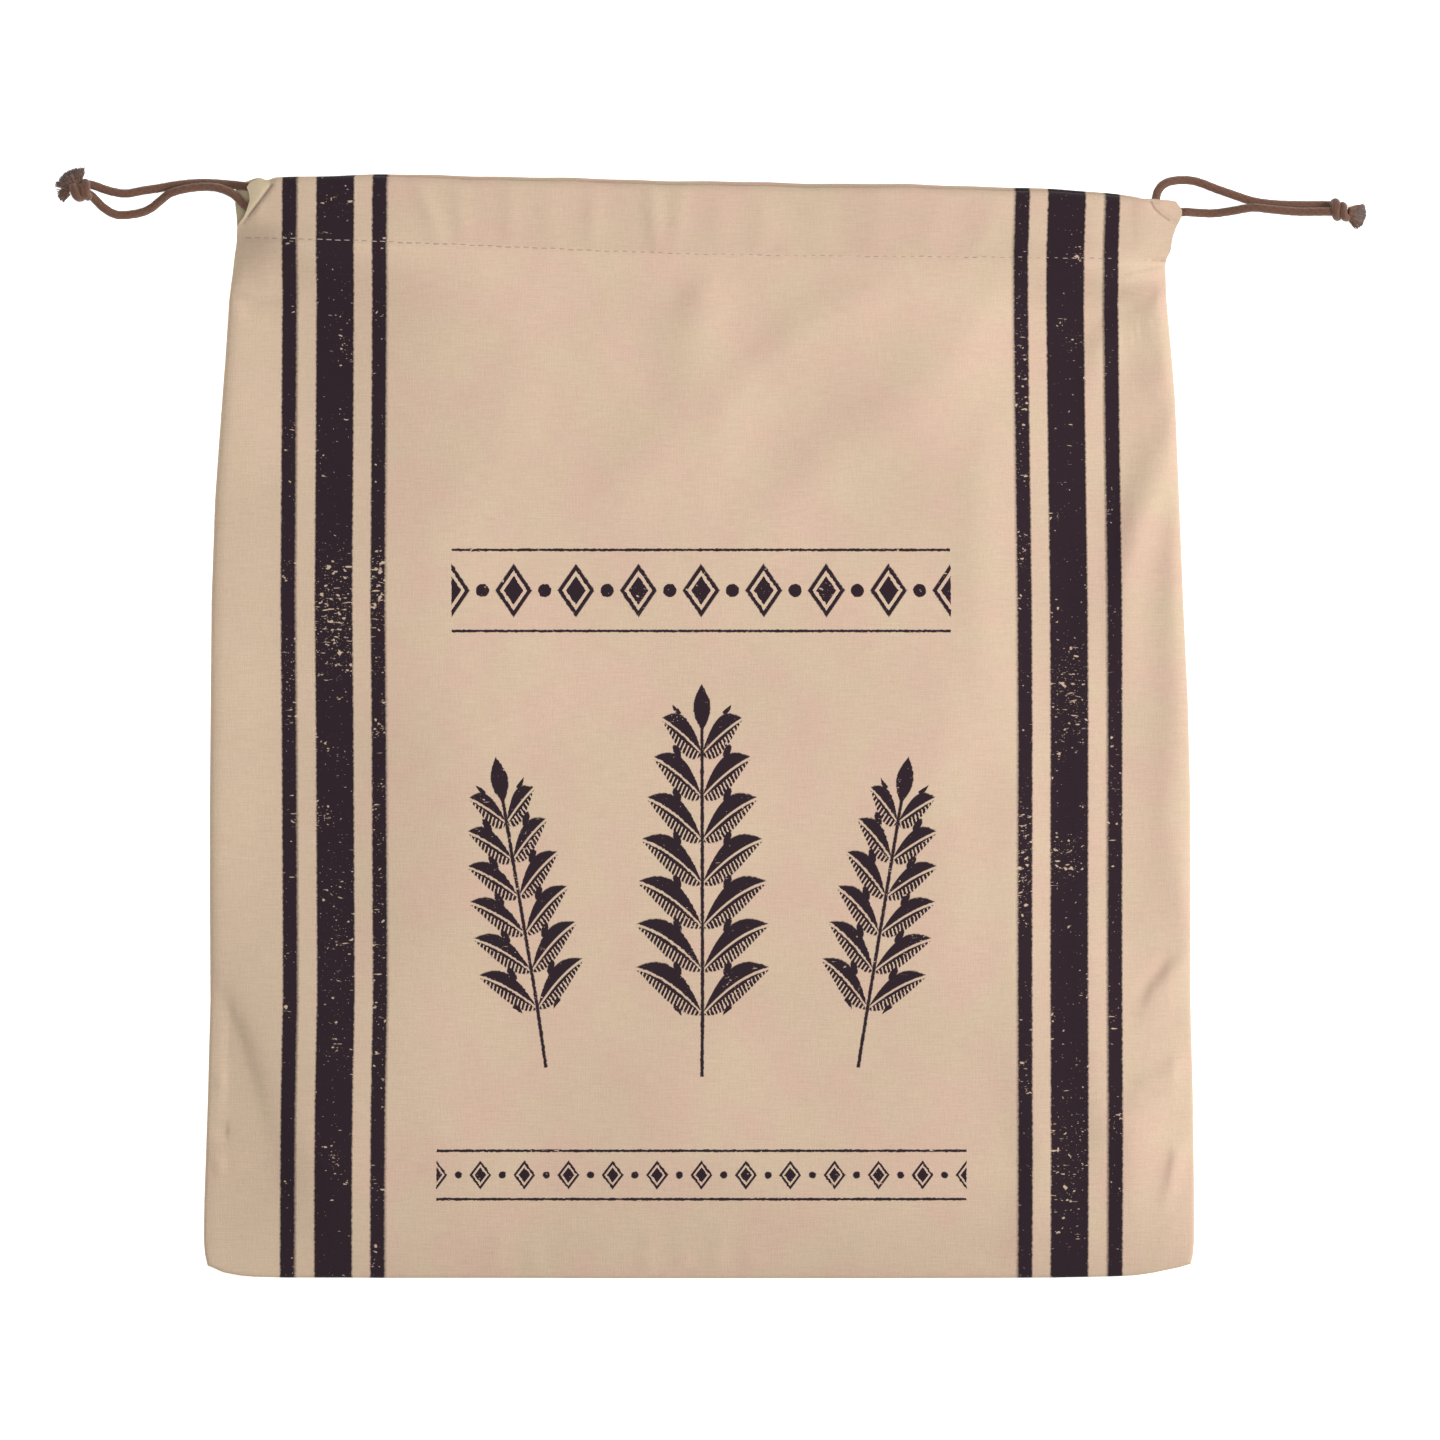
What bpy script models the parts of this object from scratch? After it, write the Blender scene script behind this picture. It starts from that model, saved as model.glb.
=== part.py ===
# Flat cotton bread bag with a drawstring casing along its mouth and two knotted cords.
# It lies on its back: +Z is up, +Y points to the mouth. The tables are in millimetres, the model in metres.
# The origin is on the surface, under the middle of the bag.

import math

import bmesh
import bpy
import numpy as np

MM = 0.001

# Cloth and casing sizes, in mm
CLOTH = 1.0
GAP = 0.35
CORD_DIAMETER = 3.0
TUNNEL = 3.6          # clear height of a casing
HEM_STEP = 1.2        # width of the sewn edge of the hem
TUNNEL_RISE = 8.5     # distance from the stitch line to the full height of the casing
HEM_LEFT = -149.0     # the hem's ends are cut back behind the outer cloth
HEM_RIGHT = 151.0
HEM_INSET_SPAN = 42.0
TRACK_BELOW_TOP = 5.6
TRACK_ABOVE_STITCH = 10.6
FOLD_RADIUS = TUNNEL / 2 + CLOTH

# The open ends of the front's casing sink towards the surface, in mm
LEFT_SINK = 1.6
LEFT_SINK_SPAN = 9.0
RIGHT_SINK = 3.2
RIGHT_SINK_SPAN = 17.0

# Loft of the empty bag, in mm
BODY_LOFT = 9.9
SIDE_ROUNDING = 28.0
MOUTH_SIDE_ROUNDING = 12.0   # the sides rise sooner beside the casing
MOUTH_SPAN = 70.0
MOUTH_LIFT = 3.4             # extra loft below the casing
BOTTOM_ROUNDING = 24.0
MOUTH_GAPE = 5.5
MOUTH_HALF_WIDTH = 150.0

# Side edges: y, left x, right x
SIDE_EDGES = (
    (-191.5, -168.4, 167.6),
    (-189.0, -169.2, 169.2),
    (-186.6, -169.9, 170.6),
    (-183.1, -170.7, 171.5),
    (-177.9, -171.2, 171.9),
    (-164.1, -171.0, 171.9),
    (-129.4, -169.8, 171.5),
    (-94.8, -168.9, 170.6),
    (-60.1, -169.1, 170.6),
    (-25.5, -169.1, 170.6),
    (9.2, -168.8, 169.7),
    (43.8, -168.5, 168.1),
    (78.5, -167.3, 166.7),
    (95.8, -166.1, 166.0),
    (113.1, -164.8, 165.3),
    (130.5, -163.5, 163.9),
    (147.8, -162.4, 162.3),
    (159.5, -160.9, 161.9),
    (162.4, -160.6, 162.4),
    (164.4, -160.3, 163.6),
    (168.6, -159.7, 164.0),
)

# The ends of the two casings above the side seams: y, left x, right x
FRONT_CASING_ENDS = (
    (172.4, -159.5, 165.3),
    (174.0, -159.0, 166.1),
    (175.5, -157.4, 166.9),
    (177.0, -156.5, 167.4),
    (179.7, -155.6, 167.4),
    (181.8, -154.9, 165.2),
    (184.0, -155.1, 162.0),
    (188.3, -156.6, 156.0),
    (190.5, -156.9, 154.0),
)
BACK_CASING_ENDS = (
    (172.0, -159.6, 164.8),
    (176.6, -159.8, 166.4),
    (178.3, -160.0, 166.6),
    (180.6, -160.3, 164.4),
    (184.0, -160.3, 159.6),
    (187.0, -160.0, 157.0),
    (190.5, -157.5, 155.0),
)

# Edges along the width: x, bottom y, stitch line y, back top y, front top y
LONG_EDGES = (
    (-172.0, -186.2, 168.9, 189.2, 189.2),
    (-169.0, -187.6, 168.9, 189.4, 189.3),
    (-166.0, -189.1, 168.8, 189.6, 189.4),
    (-160.5, -190.2, 168.7, 189.9, 189.6),
    (-156.0, -190.6, 168.7, 190.0, 189.8),
    (-144.8, -190.9, 168.3, 190.1, 189.9),
    (-124.0, -190.9, 167.6, 190.9, 190.4),
    (-110.2, -191.0, 167.1, 191.2, 190.0),
    (-85.9, -191.0, 166.1, 190.8, 189.1),
    (-68.6, -191.0, 165.4, 190.5, 188.7),
    (-34.0, -191.1, 163.9, 189.6, 187.7),
    (0.7, -191.1, 162.7, 188.8, 186.8),
    (35.3, -191.1, 162.2, 188.2, 186.2),
    (70.0, -191.1, 161.9, 187.8, 185.9),
    (104.6, -191.0, 161.6, 186.9, 185.2),
    (125.4, -190.9, 161.4, 185.9, 184.6),
    (146.2, -190.5, 161.2, 184.3, 183.3),
    (151.0, -190.3, 161.1, 183.6, 182.9),
    (154.2, -190.1, 161.0, 182.9, 182.7),
    (159.8, -189.2, 161.0, 182.4, 183.0),
    (163.0, -188.4, 161.0, 181.8, 183.5),
    (165.2, -187.9, 161.0, 181.2, 183.7),
    (168.0, -187.2, 161.0, 180.4, 182.5),
    (172.0, -185.8, 161.0, 179.4, 181.0),
)

# Main folds of the front: x and y of both ends, width across, height (negative is a trough)
FOLDS = (
    (0.7, 154.0, -20.1, 88.9, 9.0, -1.0),
    (-9.0, 152.0, -31.0, 92.0, 10.0, 0.7),
    (97.7, 147.8, 31.9, 95.8, 10.0, -1.1),
    (112.0, 140.0, 44.0, 84.0, 11.0, 1.1),
    (-160.4, 147.8, -141.0, 148.6, 5.0, -1.4),
    (-159.0, 139.5, -138.0, 141.0, 6.0, 1.0),
    (164.0, 153.0, 144.0, 146.5, 5.5, -1.3),
    (165.0, 126.0, 143.0, 120.5, 6.0, -1.3),
    (165.0, 92.0, 141.0, 80.0, 7.0, -1.4),
    (158.0, 78.0, 157.0, 34.0, 7.5, 1.6),
    (170.5, -78.0, 150.0, -86.0, 6.0, -1.4),
    (171.0, -108.0, 156.0, -122.0, 6.0, -1.5),
    (170.5, -138.0, 150.0, -149.0, 6.5, -1.3),
    (165.0, -158.0, 146.0, -168.0, 7.0, -1.2),
    (-166.0, -86.0, -146.0, -132.0, 7.0, -1.5),
    (-158.0, -104.0, -131.0, -160.0, 9.0, 1.1),
    (-30.0, -118.0, 26.0, -128.0, 16.0, -0.8),
)

# Free strands from the casing to the knot: x, y, z of the centreline
LEFT_UPPER = (
    (-149.2, 186.2, 2.8),
    (-156.3, 187.0, 2.85),
    (-161.5, 187.6, 2.8),
    (-171.3, 188.25, 1.65),
    (-179.7, 187.65, 1.6),
    (-186.8, 186.4, 1.6),
    (-192.2, 185.6, 1.6),
    (-198.2, 184.6, 1.6),
    (-204.1, 185.6, 1.6),
    (-210.0, 187.6, 1.9),
)
LEFT_LOWER = (
    (-149.6, 179.0, 8.65),
    (-152.2, 178.6, 8.2),
    (-155.2, 179.1, 7.4),
    (-157.8, 181.3, 6.6),
    (-160.8, 184.2, 5.85),
    (-165.4, 186.2, 5.1),
    (-170.8, 186.8, 4.7),
    (-177.3, 186.1, 4.5),
    (-182.6, 184.6, 3.8),
    (-185.7, 182.4, 2.7),
    (-189.9, 179.2, 1.7),
    (-194.6, 177.6, 1.6),
    (-201.1, 177.2, 1.6),
    (-205.9, 179.7, 1.65),
    (-209.8, 183.6, 1.9),
)
RIGHT_UPPER = (
    (152.0, 177.0, 8.75),
    (154.7, 177.45, 8.35),
    (156.65, 178.75, 7.7),
    (157.9, 180.6, 6.9),
    (158.45, 182.8, 6.0),
    (159.1, 185.2, 5.0),
    (160.7, 187.3, 4.1),
    (163.1, 188.6, 3.2),
    (166.8, 189.2, 2.35),
    (171.0, 189.05, 1.75),
    (174.6, 188.1, 1.6),
    (179.0, 186.4, 1.6),
    (185.0, 184.3, 1.6),
    (191.9, 182.0, 1.6),
    (198.5, 181.0, 1.6),
    (207.2, 180.6, 1.6),
    (218.4, 180.5, 1.65),
)
RIGHT_LOWER = (
    (152.0, 171.9, 2.8),
    (157.0, 173.4, 2.85),
    (162.0, 176.2, 2.9),
    (167.4, 178.1, 2.85),
    (173.3, 177.9, 1.75),
    (178.8, 177.7, 1.75),
    (185.0, 178.5, 2.9),
    (191.9, 179.6, 4.6),
    (198.1, 179.0, 4.7),
    (207.2, 178.2, 4.6),
    (218.3, 178.2, 4.9),
)

# Knots: name, centre x, y, z, half sizes along x, y, z, and the turn of its wraps in degrees
KNOTS = (
    ("knot_left", -214.0, 185.8, 3.75, 3.7, 3.9, 3.55, 25.0),
    ("knot_right", 222.4, 178.7, 3.75, 3.3, 3.9, 3.55, -20.0),
)

# Frayed ends: knot, direction in degrees from +X, length from the knot's centre, end width, end height, tip z
FRAYED_ENDS = (
    ("knot_left", 127.0, 7.0, 7.8, 2.8, 2.6),
    ("knot_left", 200.0, 7.4, 3.4, 2.0, 2.2),
    ("knot_right", -17.0, 8.4, 7.6, 2.8, 2.4),
)

# Colours, linear RGB
COTTON = (0.68, 0.52, 0.39, 1.0)
BROWN_CORD = (0.16, 0.085, 0.05, 1.0)


def smooth_step(value):
    t = min(1.0, max(0.0, value))
    return t * t * (3.0 - 2.0 * t)


def column(table, name_index):
    return [row[name_index] for row in table]


def read_table(table, at, value_index):
    return float(np.interp(at, column(table, 0), column(table, value_index)))


def side_edge(casing_ends, y, value_index):
    """x of the cloth's left (1) or right (2) edge at height y."""
    return read_table(SIDE_EDGES + casing_ends, y, value_index)


def edge_fill(distance, rounding):
    """How much of the full loft is reached at a distance from an edge."""
    return 1.0 - math.exp(-((max(0.0, distance) / rounding) ** 1.25))


def below_mouth(x, y):
    """From 0 at the stitch line to 1 in the body of the bag."""
    return smooth_step((read_table(LONG_EDGES, x, 2) - y) / MOUTH_SPAN)


def body_fill(x, y):
    """Loft of the front cloth over its flat place, without its folds."""
    left = side_edge(FRONT_CASING_ENDS, y, 1)
    right = side_edge(FRONT_CASING_ENDS, y, 2)
    body = below_mouth(x, y)
    rounding = MOUTH_SIDE_ROUNDING + (SIDE_ROUNDING - MOUTH_SIDE_ROUNDING) * body
    sides = edge_fill(x - left, rounding) * edge_fill(right - x, rounding)
    bottom = edge_fill(y - read_table(LONG_EDGES, x, 1), BOTTOM_ROUNDING)
    return (BODY_LOFT + MOUTH_LIFT * (1.0 - body)) * sides * bottom


def fold_height(x, y):
    """Sum of the soft folds at a place."""
    total = 0.0
    for x0, y0, x1, y1, width, height in FOLDS:
        dx = x1 - x0
        dy = y1 - y0
        length = math.hypot(dx, dy)
        along = ((x - x0) * dx + (y - y0) * dy) / length
        across = ((x - x0) * dy - (y - y0) * dx) / length
        over = max(0.0, -along, along - length)
        total += height * math.exp(-((across / width) ** 2) - (over / width) ** 2)
    return total


def unevenness(x, y):
    """A slow, low waviness of cloth that was pressed and has relaxed."""
    return (
        0.22 * math.sin(x / 23.0 + 0.8 * math.sin(y / 41.0))
        + 0.20 * math.sin(y / 29.0 + x / 57.0 + 1.3)
        + 0.12 * math.sin((x - y) / 15.0)
    )


def hem_top(s):
    """Upper side of the back's casing at a distance s above the stitch line."""
    rise = TUNNEL * smooth_step((s - HEM_STEP) / (TUNNEL_RISE - HEM_STEP))
    return CLOTH + CLOTH * min(1.0, max(0.0, s) / HEM_STEP) + rise


def tunnel_height(s):
    return TUNNEL * smooth_step((s - HEM_STEP) / (TUNNEL_RISE - HEM_STEP))


def mouth_gape(x):
    return MOUTH_GAPE * (1.0 - min(1.0, abs(x) / MOUTH_HALF_WIDTH) ** 4)


def end_sink(x, s):
    """How far the front's casing has sunk at its open ends, beyond the ends of its hem."""
    left = LEFT_SINK * smooth_step((HEM_LEFT - 1.0 - x) / LEFT_SINK_SPAN)
    right = RIGHT_SINK * smooth_step((x - HEM_RIGHT) / RIGHT_SINK_SPAN)
    return (left + right) * smooth_step((s - HEM_STEP) / (TUNNEL_RISE - HEM_STEP))


def body_underside(x, y):
    """Underside of the front cloth below the stitch line."""
    fill = body_fill(x, y)
    rim = min(1.0, fill / 3.3)
    calm = smooth_step((read_table(LONG_EDGES, x, 2) - y) / 16.0)
    lift = fill + rim * calm * (fold_height(x, y) + unevenness(x, y))
    return CLOTH + GAP + max(0.0, lift)


def casing_underside(x, s, y):
    """Underside of the front's hem at a distance s above the stitch line."""
    weight = (hem_top(s) - CLOTH) / (TUNNEL + CLOTH)
    low = CLOTH + GAP + body_fill(x, y)
    high = TUNNEL + 2.0 * CLOTH + GAP + mouth_gape(x)
    return low * (1.0 - weight) + high * weight


def edge_stops(fine_stops, count, total):
    """Positions from 0 to total: fine steps at both ends and even ones between."""
    inner = np.linspace(fine_stops[-1], total - fine_stops[-1], count + 1)
    ends = [total - stop for stop in reversed(fine_stops[:-1])]
    return [*fine_stops[:-1], *[float(v) for v in inner], *ends]


class Panel:
    """A cloth panel as a ribbon of section points at each of its columns across the width."""

    def __init__(self, name, is_front, columns, body_rows, casing_ends, top_index):
        self.name = name
        self.is_front = is_front
        self.columns = columns
        self.body_rows = body_rows
        self.casing_ends = casing_ends
        self.top_index = top_index

    def place_x(self, u, y, hem_weight):
        """x at column u. The hem is cut back at both ends, fully where its weight is 1."""
        left = side_edge(self.casing_ends, y, 1)
        right = side_edge(self.casing_ends, y, 2)
        width = right - left
        near_left = max(0.0, 1.0 - u * width / HEM_INSET_SPAN) ** 2
        near_right = max(0.0, 1.0 - (1.0 - u) * width / HEM_INSET_SPAN) ** 2
        shift = near_left * (HEM_LEFT - left) + near_right * (HEM_RIGHT - right)
        return left + u * width + hem_weight * shift

    def casing_at(self, x):
        """y of the stitch line at x, and the distance from it to where the top fold begins."""
        stitch = read_table(LONG_EDGES, x, 2)
        return stitch, read_table(LONG_EDGES, x, self.top_index) - stitch - FOLD_RADIUS

    def section(self, u):
        """Pairs of points (outer face, inner face) along the cloth, and the row of the stitch line."""
        guide_x = -171.0 + 342.0 * u
        bottom = read_table(LONG_EDGES, guide_x, 1)
        stitch = read_table(LONG_EDGES, guide_x, 2)
        top = read_table(LONG_EDGES, guide_x, self.top_index)
        depth = top - stitch
        pairs = []
        for part in self.body_rows:
            y = bottom + part * (stitch - bottom)
            x = self.place_x(u, y, 0.0)
            if self.is_front:
                low = body_underside(x, y)
                pairs.append(((x, y, low + CLOTH), (x, y, low)))
            else:
                pairs.append(((x, y, 0.0), (x, y, CLOTH)))
        stitch_row = len(pairs) - 1
        flat_end = depth - FOLD_RADIUS
        rises = [HEM_STEP, 3.2, 5.8, TUNNEL_RISE, 0.5 * (TUNNEL_RISE + flat_end), flat_end]
        for s in rises:
            y = stitch + s
            x = self.place_x(u, y, 0.0)
            if self.is_front:
                low = casing_underside(x, s, y) + CLOTH + tunnel_height(s) - end_sink(x, s)
                pairs.append(((x, y, low + CLOTH), (x, y, low)))
            else:
                pairs.append(((x, y, 0.0), (x, y, CLOTH)))
        for angle, weight in ((72.0, 0.15), (45.0, 0.45), (0.0, 0.8), (-45.0, 0.95), (-90.0, 1.0)):
            reach = math.cos(math.radians(angle))
            climb = math.sin(math.radians(angle))
            x = self.place_x(u, stitch + flat_end, weight)
            stitch_here, flat_end_here = self.casing_at(x)
            centre_y = stitch_here + flat_end_here
            y_out = centre_y + FOLD_RADIUS * reach
            y_in = centre_y + (FOLD_RADIUS - CLOTH) * reach
            if self.is_front:
                upper = 0.5 + 0.5 * climb
                middle = casing_underside(x, flat_end_here, centre_y) + FOLD_RADIUS
                middle -= upper * end_sink(x, flat_end_here)
                turn = climb
            else:
                middle = FOLD_RADIUS
                turn = -climb
            outer = (x, y_out, middle + FOLD_RADIUS * turn)
            inner = (x, y_in, middle + (FOLD_RADIUS - CLOTH) * turn)
            pairs.append((outer, inner))
        x = self.place_x(u, stitch + flat_end, 1.0)
        half_way = 0.5 * (TUNNEL_RISE + self.casing_at(x)[1])
        for s, weight in ((half_way, 1.0), (TUNNEL_RISE, 0.9), (5.8, 0.7), (3.2, 0.4), (HEM_STEP, 0.15)):
            x = self.place_x(u, stitch + s, weight)
            y = self.casing_at(x)[0] + s
            inner_s = s if s > HEM_STEP else 2.2
            inner_y = y + inner_s - s
            if self.is_front:
                low = casing_underside(x, s, y)
                inner_low = casing_underside(x, inner_s, inner_y) + CLOTH
                pairs.append(((x, y, low), (x, inner_y, inner_low)))
            else:
                pairs.append(((x, y, hem_top(s)), (x, inner_y, hem_top(inner_s) - CLOTH)))
        return pairs, stitch_row

    def build(self, material):
        """One closed mesh: the ribbon's two faces, with the hem's edge sewn to the cloth at the stitch line."""
        mesh = bmesh.new()
        sections = []
        for u in self.columns:
            pairs, stitch_row = self.section(u)
            verts = [[mesh.verts.new([c * MM for c in point]) for point in pair] for pair in pairs]
            # The hem ends on the inner face, between the stitch row and the row above it.
            verts.append([verts[stitch_row][1], verts[stitch_row + 1][1]])
            sections.append(verts)
        rows = len(sections[0]) - 1
        for here, beyond in zip(sections, sections[1:]):
            for row in range(rows):
                mesh.faces.new((here[row][0], beyond[row][0], beyond[row + 1][0], here[row + 1][0]))
                if row != stitch_row:
                    mesh.faces.new((here[row][1], here[row + 1][1], beyond[row + 1][1], beyond[row][1]))
            mesh.faces.new((here[0][0], here[0][1], beyond[0][1], beyond[0][0]))
        for end, flip in ((sections[0], False), (sections[-1], True)):
            for row in range(rows):
                ring = [end[row][0], end[row + 1][0], end[row + 1][1], end[row][1]]
                if flip:
                    ring.reverse()
                mesh.faces.new(ring)
        bmesh.ops.recalc_face_normals(mesh, faces=mesh.faces)
        bmesh.ops.triangulate(mesh, faces=mesh.faces)
        return make_object(self.name, mesh, material)


def make_object(name, mesh, material):
    data = bpy.data.meshes.new(name)
    mesh.to_mesh(data)
    mesh.free()
    data.materials.append(material)
    data.shade_smooth()
    item = bpy.data.objects.new(name, data)
    bpy.context.collection.objects.link(item)
    data.set_sharp_from_angle(angle=math.radians(50.0))
    return item


def make_material(name, colour, roughness):
    material = bpy.data.materials.new(name)
    material.use_nodes = True
    shader = material.node_tree.nodes["Principled BSDF"]
    shader.inputs["Base Color"].default_value = colour
    shader.inputs["Roughness"].default_value = roughness
    shader.inputs["Metallic"].default_value = 0.0
    material.diffuse_color = colour
    return material


def smooth_line(points, step):
    """Points about a step apart, read from a Catmull-Rom curve through the route's own points."""
    route = np.array(points)
    before = 2 * route[0] - route[1]
    after = 2 * route[-1] - route[-2]
    route = np.vstack([before, route, after])
    dense = []
    for i in range(1, len(route) - 2):
        p0, p1, p2, p3 = route[i - 1 : i + 3]
        for t in np.linspace(0.0, 1.0, 24, endpoint=False):
            dense.append(
                0.5
                * (
                    2 * p1
                    + (p2 - p0) * t
                    + (2 * p0 - 5 * p1 + 4 * p2 - p3) * t**2
                    + (3 * p1 - p0 - 3 * p2 + p3) * t**3
                )
            )
    dense.append(route[-2])
    dense = np.array(dense)
    lengths = np.concatenate([[0.0], np.cumsum(np.linalg.norm(np.diff(dense, axis=0), axis=1))])
    count = max(2, round(lengths[-1] / step))
    stops = np.linspace(0.0, lengths[-1], count + 1)
    return np.stack([np.interp(stops, lengths, dense[:, axis]) for axis in range(3)], axis=1)


def track_point(x, upper, in_front):
    """Centre of a cord inside a casing: the upper or the lower of the two tracks."""
    stitch = read_table(LONG_EDGES, x, 2)
    top = min(read_table(LONG_EDGES, x, 3), read_table(LONG_EDGES, x, 4))
    y = top - TRACK_BELOW_TOP if upper else stitch + TRACK_ABOVE_STITCH
    if in_front:
        z = TUNNEL + 2.0 * CLOTH + GAP + mouth_gape(x) + CLOTH + TUNNEL / 2
    else:
        z = CLOTH + TUNNEL / 2
    return (x, y, z)


def half_turn(start, end, reach):
    """Points of a half turn from one casing to the other, bulging by reach along x."""
    points = []
    for angle in (18.0, 42.0, 66.0, 90.0, 114.0, 138.0, 162.0):
        part = 0.5 - 0.5 * math.cos(math.radians(angle))
        bulge = reach * math.sin(math.radians(angle))
        y = start[1] + part * (end[1] - start[1])
        z = start[2] + part * (end[2] - start[2])
        points.append((start[0] + bulge, y, z))
    return points


def cord_route(first_strand, second_strand, first_in_front, first_upper, turn_x, reach):
    """The whole centreline: knot, first casing, half turn, second casing, knot."""
    from_knot = smooth_line(first_strand[::-1], 6.3)
    to_knot = smooth_line(second_strand, 6.3)
    way = 1.0 if turn_x > first_strand[0][0] else -1.0
    first_xs = np.linspace(first_strand[0][0] + way * 12.0, turn_x, 24)
    second_xs = np.linspace(turn_x, second_strand[0][0] + way * 12.0, 24)
    first_run = [track_point(float(x), first_upper, first_in_front) for x in first_xs]
    second_run = [track_point(float(x), not first_upper, not first_in_front) for x in second_xs]
    turn = half_turn(first_run[-1], second_run[0], reach)
    return np.vstack([from_knot, first_run, turn, second_run, to_knot])


def make_cord(name, route, material):
    curve = bpy.data.curves.new(name, "CURVE")
    curve.dimensions = "3D"
    curve.bevel_depth = CORD_DIAMETER / 2 * MM
    curve.bevel_resolution = 2
    curve.use_fill_caps = True
    spline = curve.splines.new("POLY")
    spline.points.add(len(route) - 1)
    for point, place in zip(spline.points, route):
        point.co = (*(float(c) * MM for c in place), 1.0)
    spline.use_smooth = True
    curve.materials.append(material)
    item = bpy.data.objects.new(name, curve)
    bpy.context.collection.objects.link(item)
    return item


def knot_radius(direction, turn):
    """Radius factor of the knot: two wraps of the cord with grooves between them."""
    x, y, z = direction
    a = math.radians(turn)
    across = x * math.cos(a) + y * math.sin(a)
    along = -x * math.sin(a) + y * math.cos(a)
    wraps = math.cos(7.2 * across + 0.9 * along * z)
    tuck = math.exp(-(((along - 0.55) / 0.35) ** 2) - ((z - 0.7) / 0.5) ** 2)
    return 0.93 + 0.06 * wraps - 0.10 * tuck


def make_knot(row, material):
    """A tight overhand knot with the frayed ends of the cord flaring out of it."""
    name, cx, cy, cz, hx, hy, hz, turn = row
    mesh = bmesh.new()
    bmesh.ops.create_icosphere(mesh, subdivisions=3, radius=1.0)
    for vert in mesh.verts:
        factor = knot_radius(vert.co.normalized(), turn)
        vert.co.x *= hx * factor * MM
        vert.co.y *= hy * factor * MM
        vert.co.z *= hz * factor * MM
    knot = make_object(name, mesh, material)
    knot.location = (cx * MM, cy * MM, cz * MM)
    for index, end in enumerate(FRAYED_ENDS):
        if end[0] != name:
            continue
        tuft = make_frayed_end(f"{name}_tuft_{index}", end, (cx, cy, cz), material)
        joint = knot.modifiers.new(f"tuft_{index}", "BOOLEAN")
        joint.operation = "UNION"
        joint.solver = "EXACT"
        joint.object = tuft
        tuft.hide_render = True
        tuft.display_type = "WIRE"
    return knot


def make_frayed_end(name, end, centre, material):
    """A flat fan of frayed fibre, narrow in the knot and uneven at its tips."""
    _, heading, length, end_width, end_height, tip_z = end
    mesh = bmesh.new()
    rings = []
    sides = 12
    for along, spread in ((1.2, 0.30), (length * 0.45, 0.45), (length * 0.75, 0.80), (length, 1.0)):
        ring = []
        part = along / length
        lift = (tip_z - centre[2]) * smooth_step(part * 1.3)
        for side in range(sides):
            angle = 2.0 * math.pi * side / sides
            ragged = 0.9 * math.sin(3.0 * angle + heading) + 0.5 * math.cos(5.0 * angle)
            tip = ragged * part**4
            half_width = max(1.3, 0.5 * end_width * spread)
            half_height = 0.5 * end_height * (1.2 - 0.3 * part)
            ring.append((along + tip, half_width * math.cos(angle), lift + half_height * math.sin(angle)))
        rings.append([mesh.verts.new([c * MM for c in point]) for point in ring])
    for here, beyond in zip(rings, rings[1:]):
        for side in range(sides):
            after = (side + 1) % sides
            mesh.faces.new((here[side], here[after], beyond[after], beyond[side]))
    mesh.faces.new(rings[0][::-1])
    hub = mesh.verts.new(((length + 0.2) * MM, 0.0, (tip_z - centre[2]) * MM))
    for side in range(sides):
        mesh.faces.new((rings[-1][side], rings[-1][(side + 1) % sides], hub))
    bmesh.ops.recalc_face_normals(mesh, faces=mesh.faces)
    item = make_object(name, mesh, material)
    item.location = tuple(c * MM for c in centre)
    item.rotation_euler = (0.0, 0.0, math.radians(heading))
    return item


def main():
    for item in list(bpy.data.objects):
        bpy.data.objects.remove(item)
    cotton = make_material("natural cotton", COTTON, 0.9)
    cord = make_material("brown cord", BROWN_CORD, 0.85)

    fine = [0.0, 3.0, 8.0, 15.0, 25.0, 38.0]
    front_columns = [stop / 330.0 for stop in edge_stops(fine, 33, 330.0)]
    back_columns = [stop / 330.0 for stop in edge_stops(fine, 17, 330.0)]
    low_rows = [0.0, 3.0, 8.0, 15.0, 25.0, 37.0]
    body_length = 355.0
    front_rows = low_rows + [float(v) for v in np.linspace(50.0, body_length - 7.0, 23)] + [body_length]
    back_rows = low_rows + [float(v) for v in np.linspace(60.0, body_length - 7.0, 9)] + [body_length]
    front = Panel("front_panel", True, front_columns, [v / body_length for v in front_rows], FRONT_CASING_ENDS, 4)
    back = Panel("back_panel", False, back_columns, [v / body_length for v in back_rows], BACK_CASING_ENDS, 3)
    front.build(cotton)
    back.build(cotton)

    left_route = cord_route(LEFT_UPPER, LEFT_LOWER, False, True, 151.6, 3.6)
    right_route = cord_route(RIGHT_UPPER, RIGHT_LOWER, True, True, -149.6, -3.5)
    make_cord("drawstring_left", left_route, cord)
    make_cord("drawstring_right", right_route, cord)
    for row in KNOTS:
        make_knot(row, cord)


main()
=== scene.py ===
"""Flat cotton bread bag with grain-sack stripes, a drawstring casing and two knotted brown cords.

The bag lies on its back on a pale surface, seen from straight above. The tables are in millimetres,
with +Y towards the mouth, and every mesh is made in metres.
"""

import math

import bpy
import numpy as np
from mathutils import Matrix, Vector
from bpy.props import FloatProperty, IntProperty, PointerProperty, StringProperty


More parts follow.
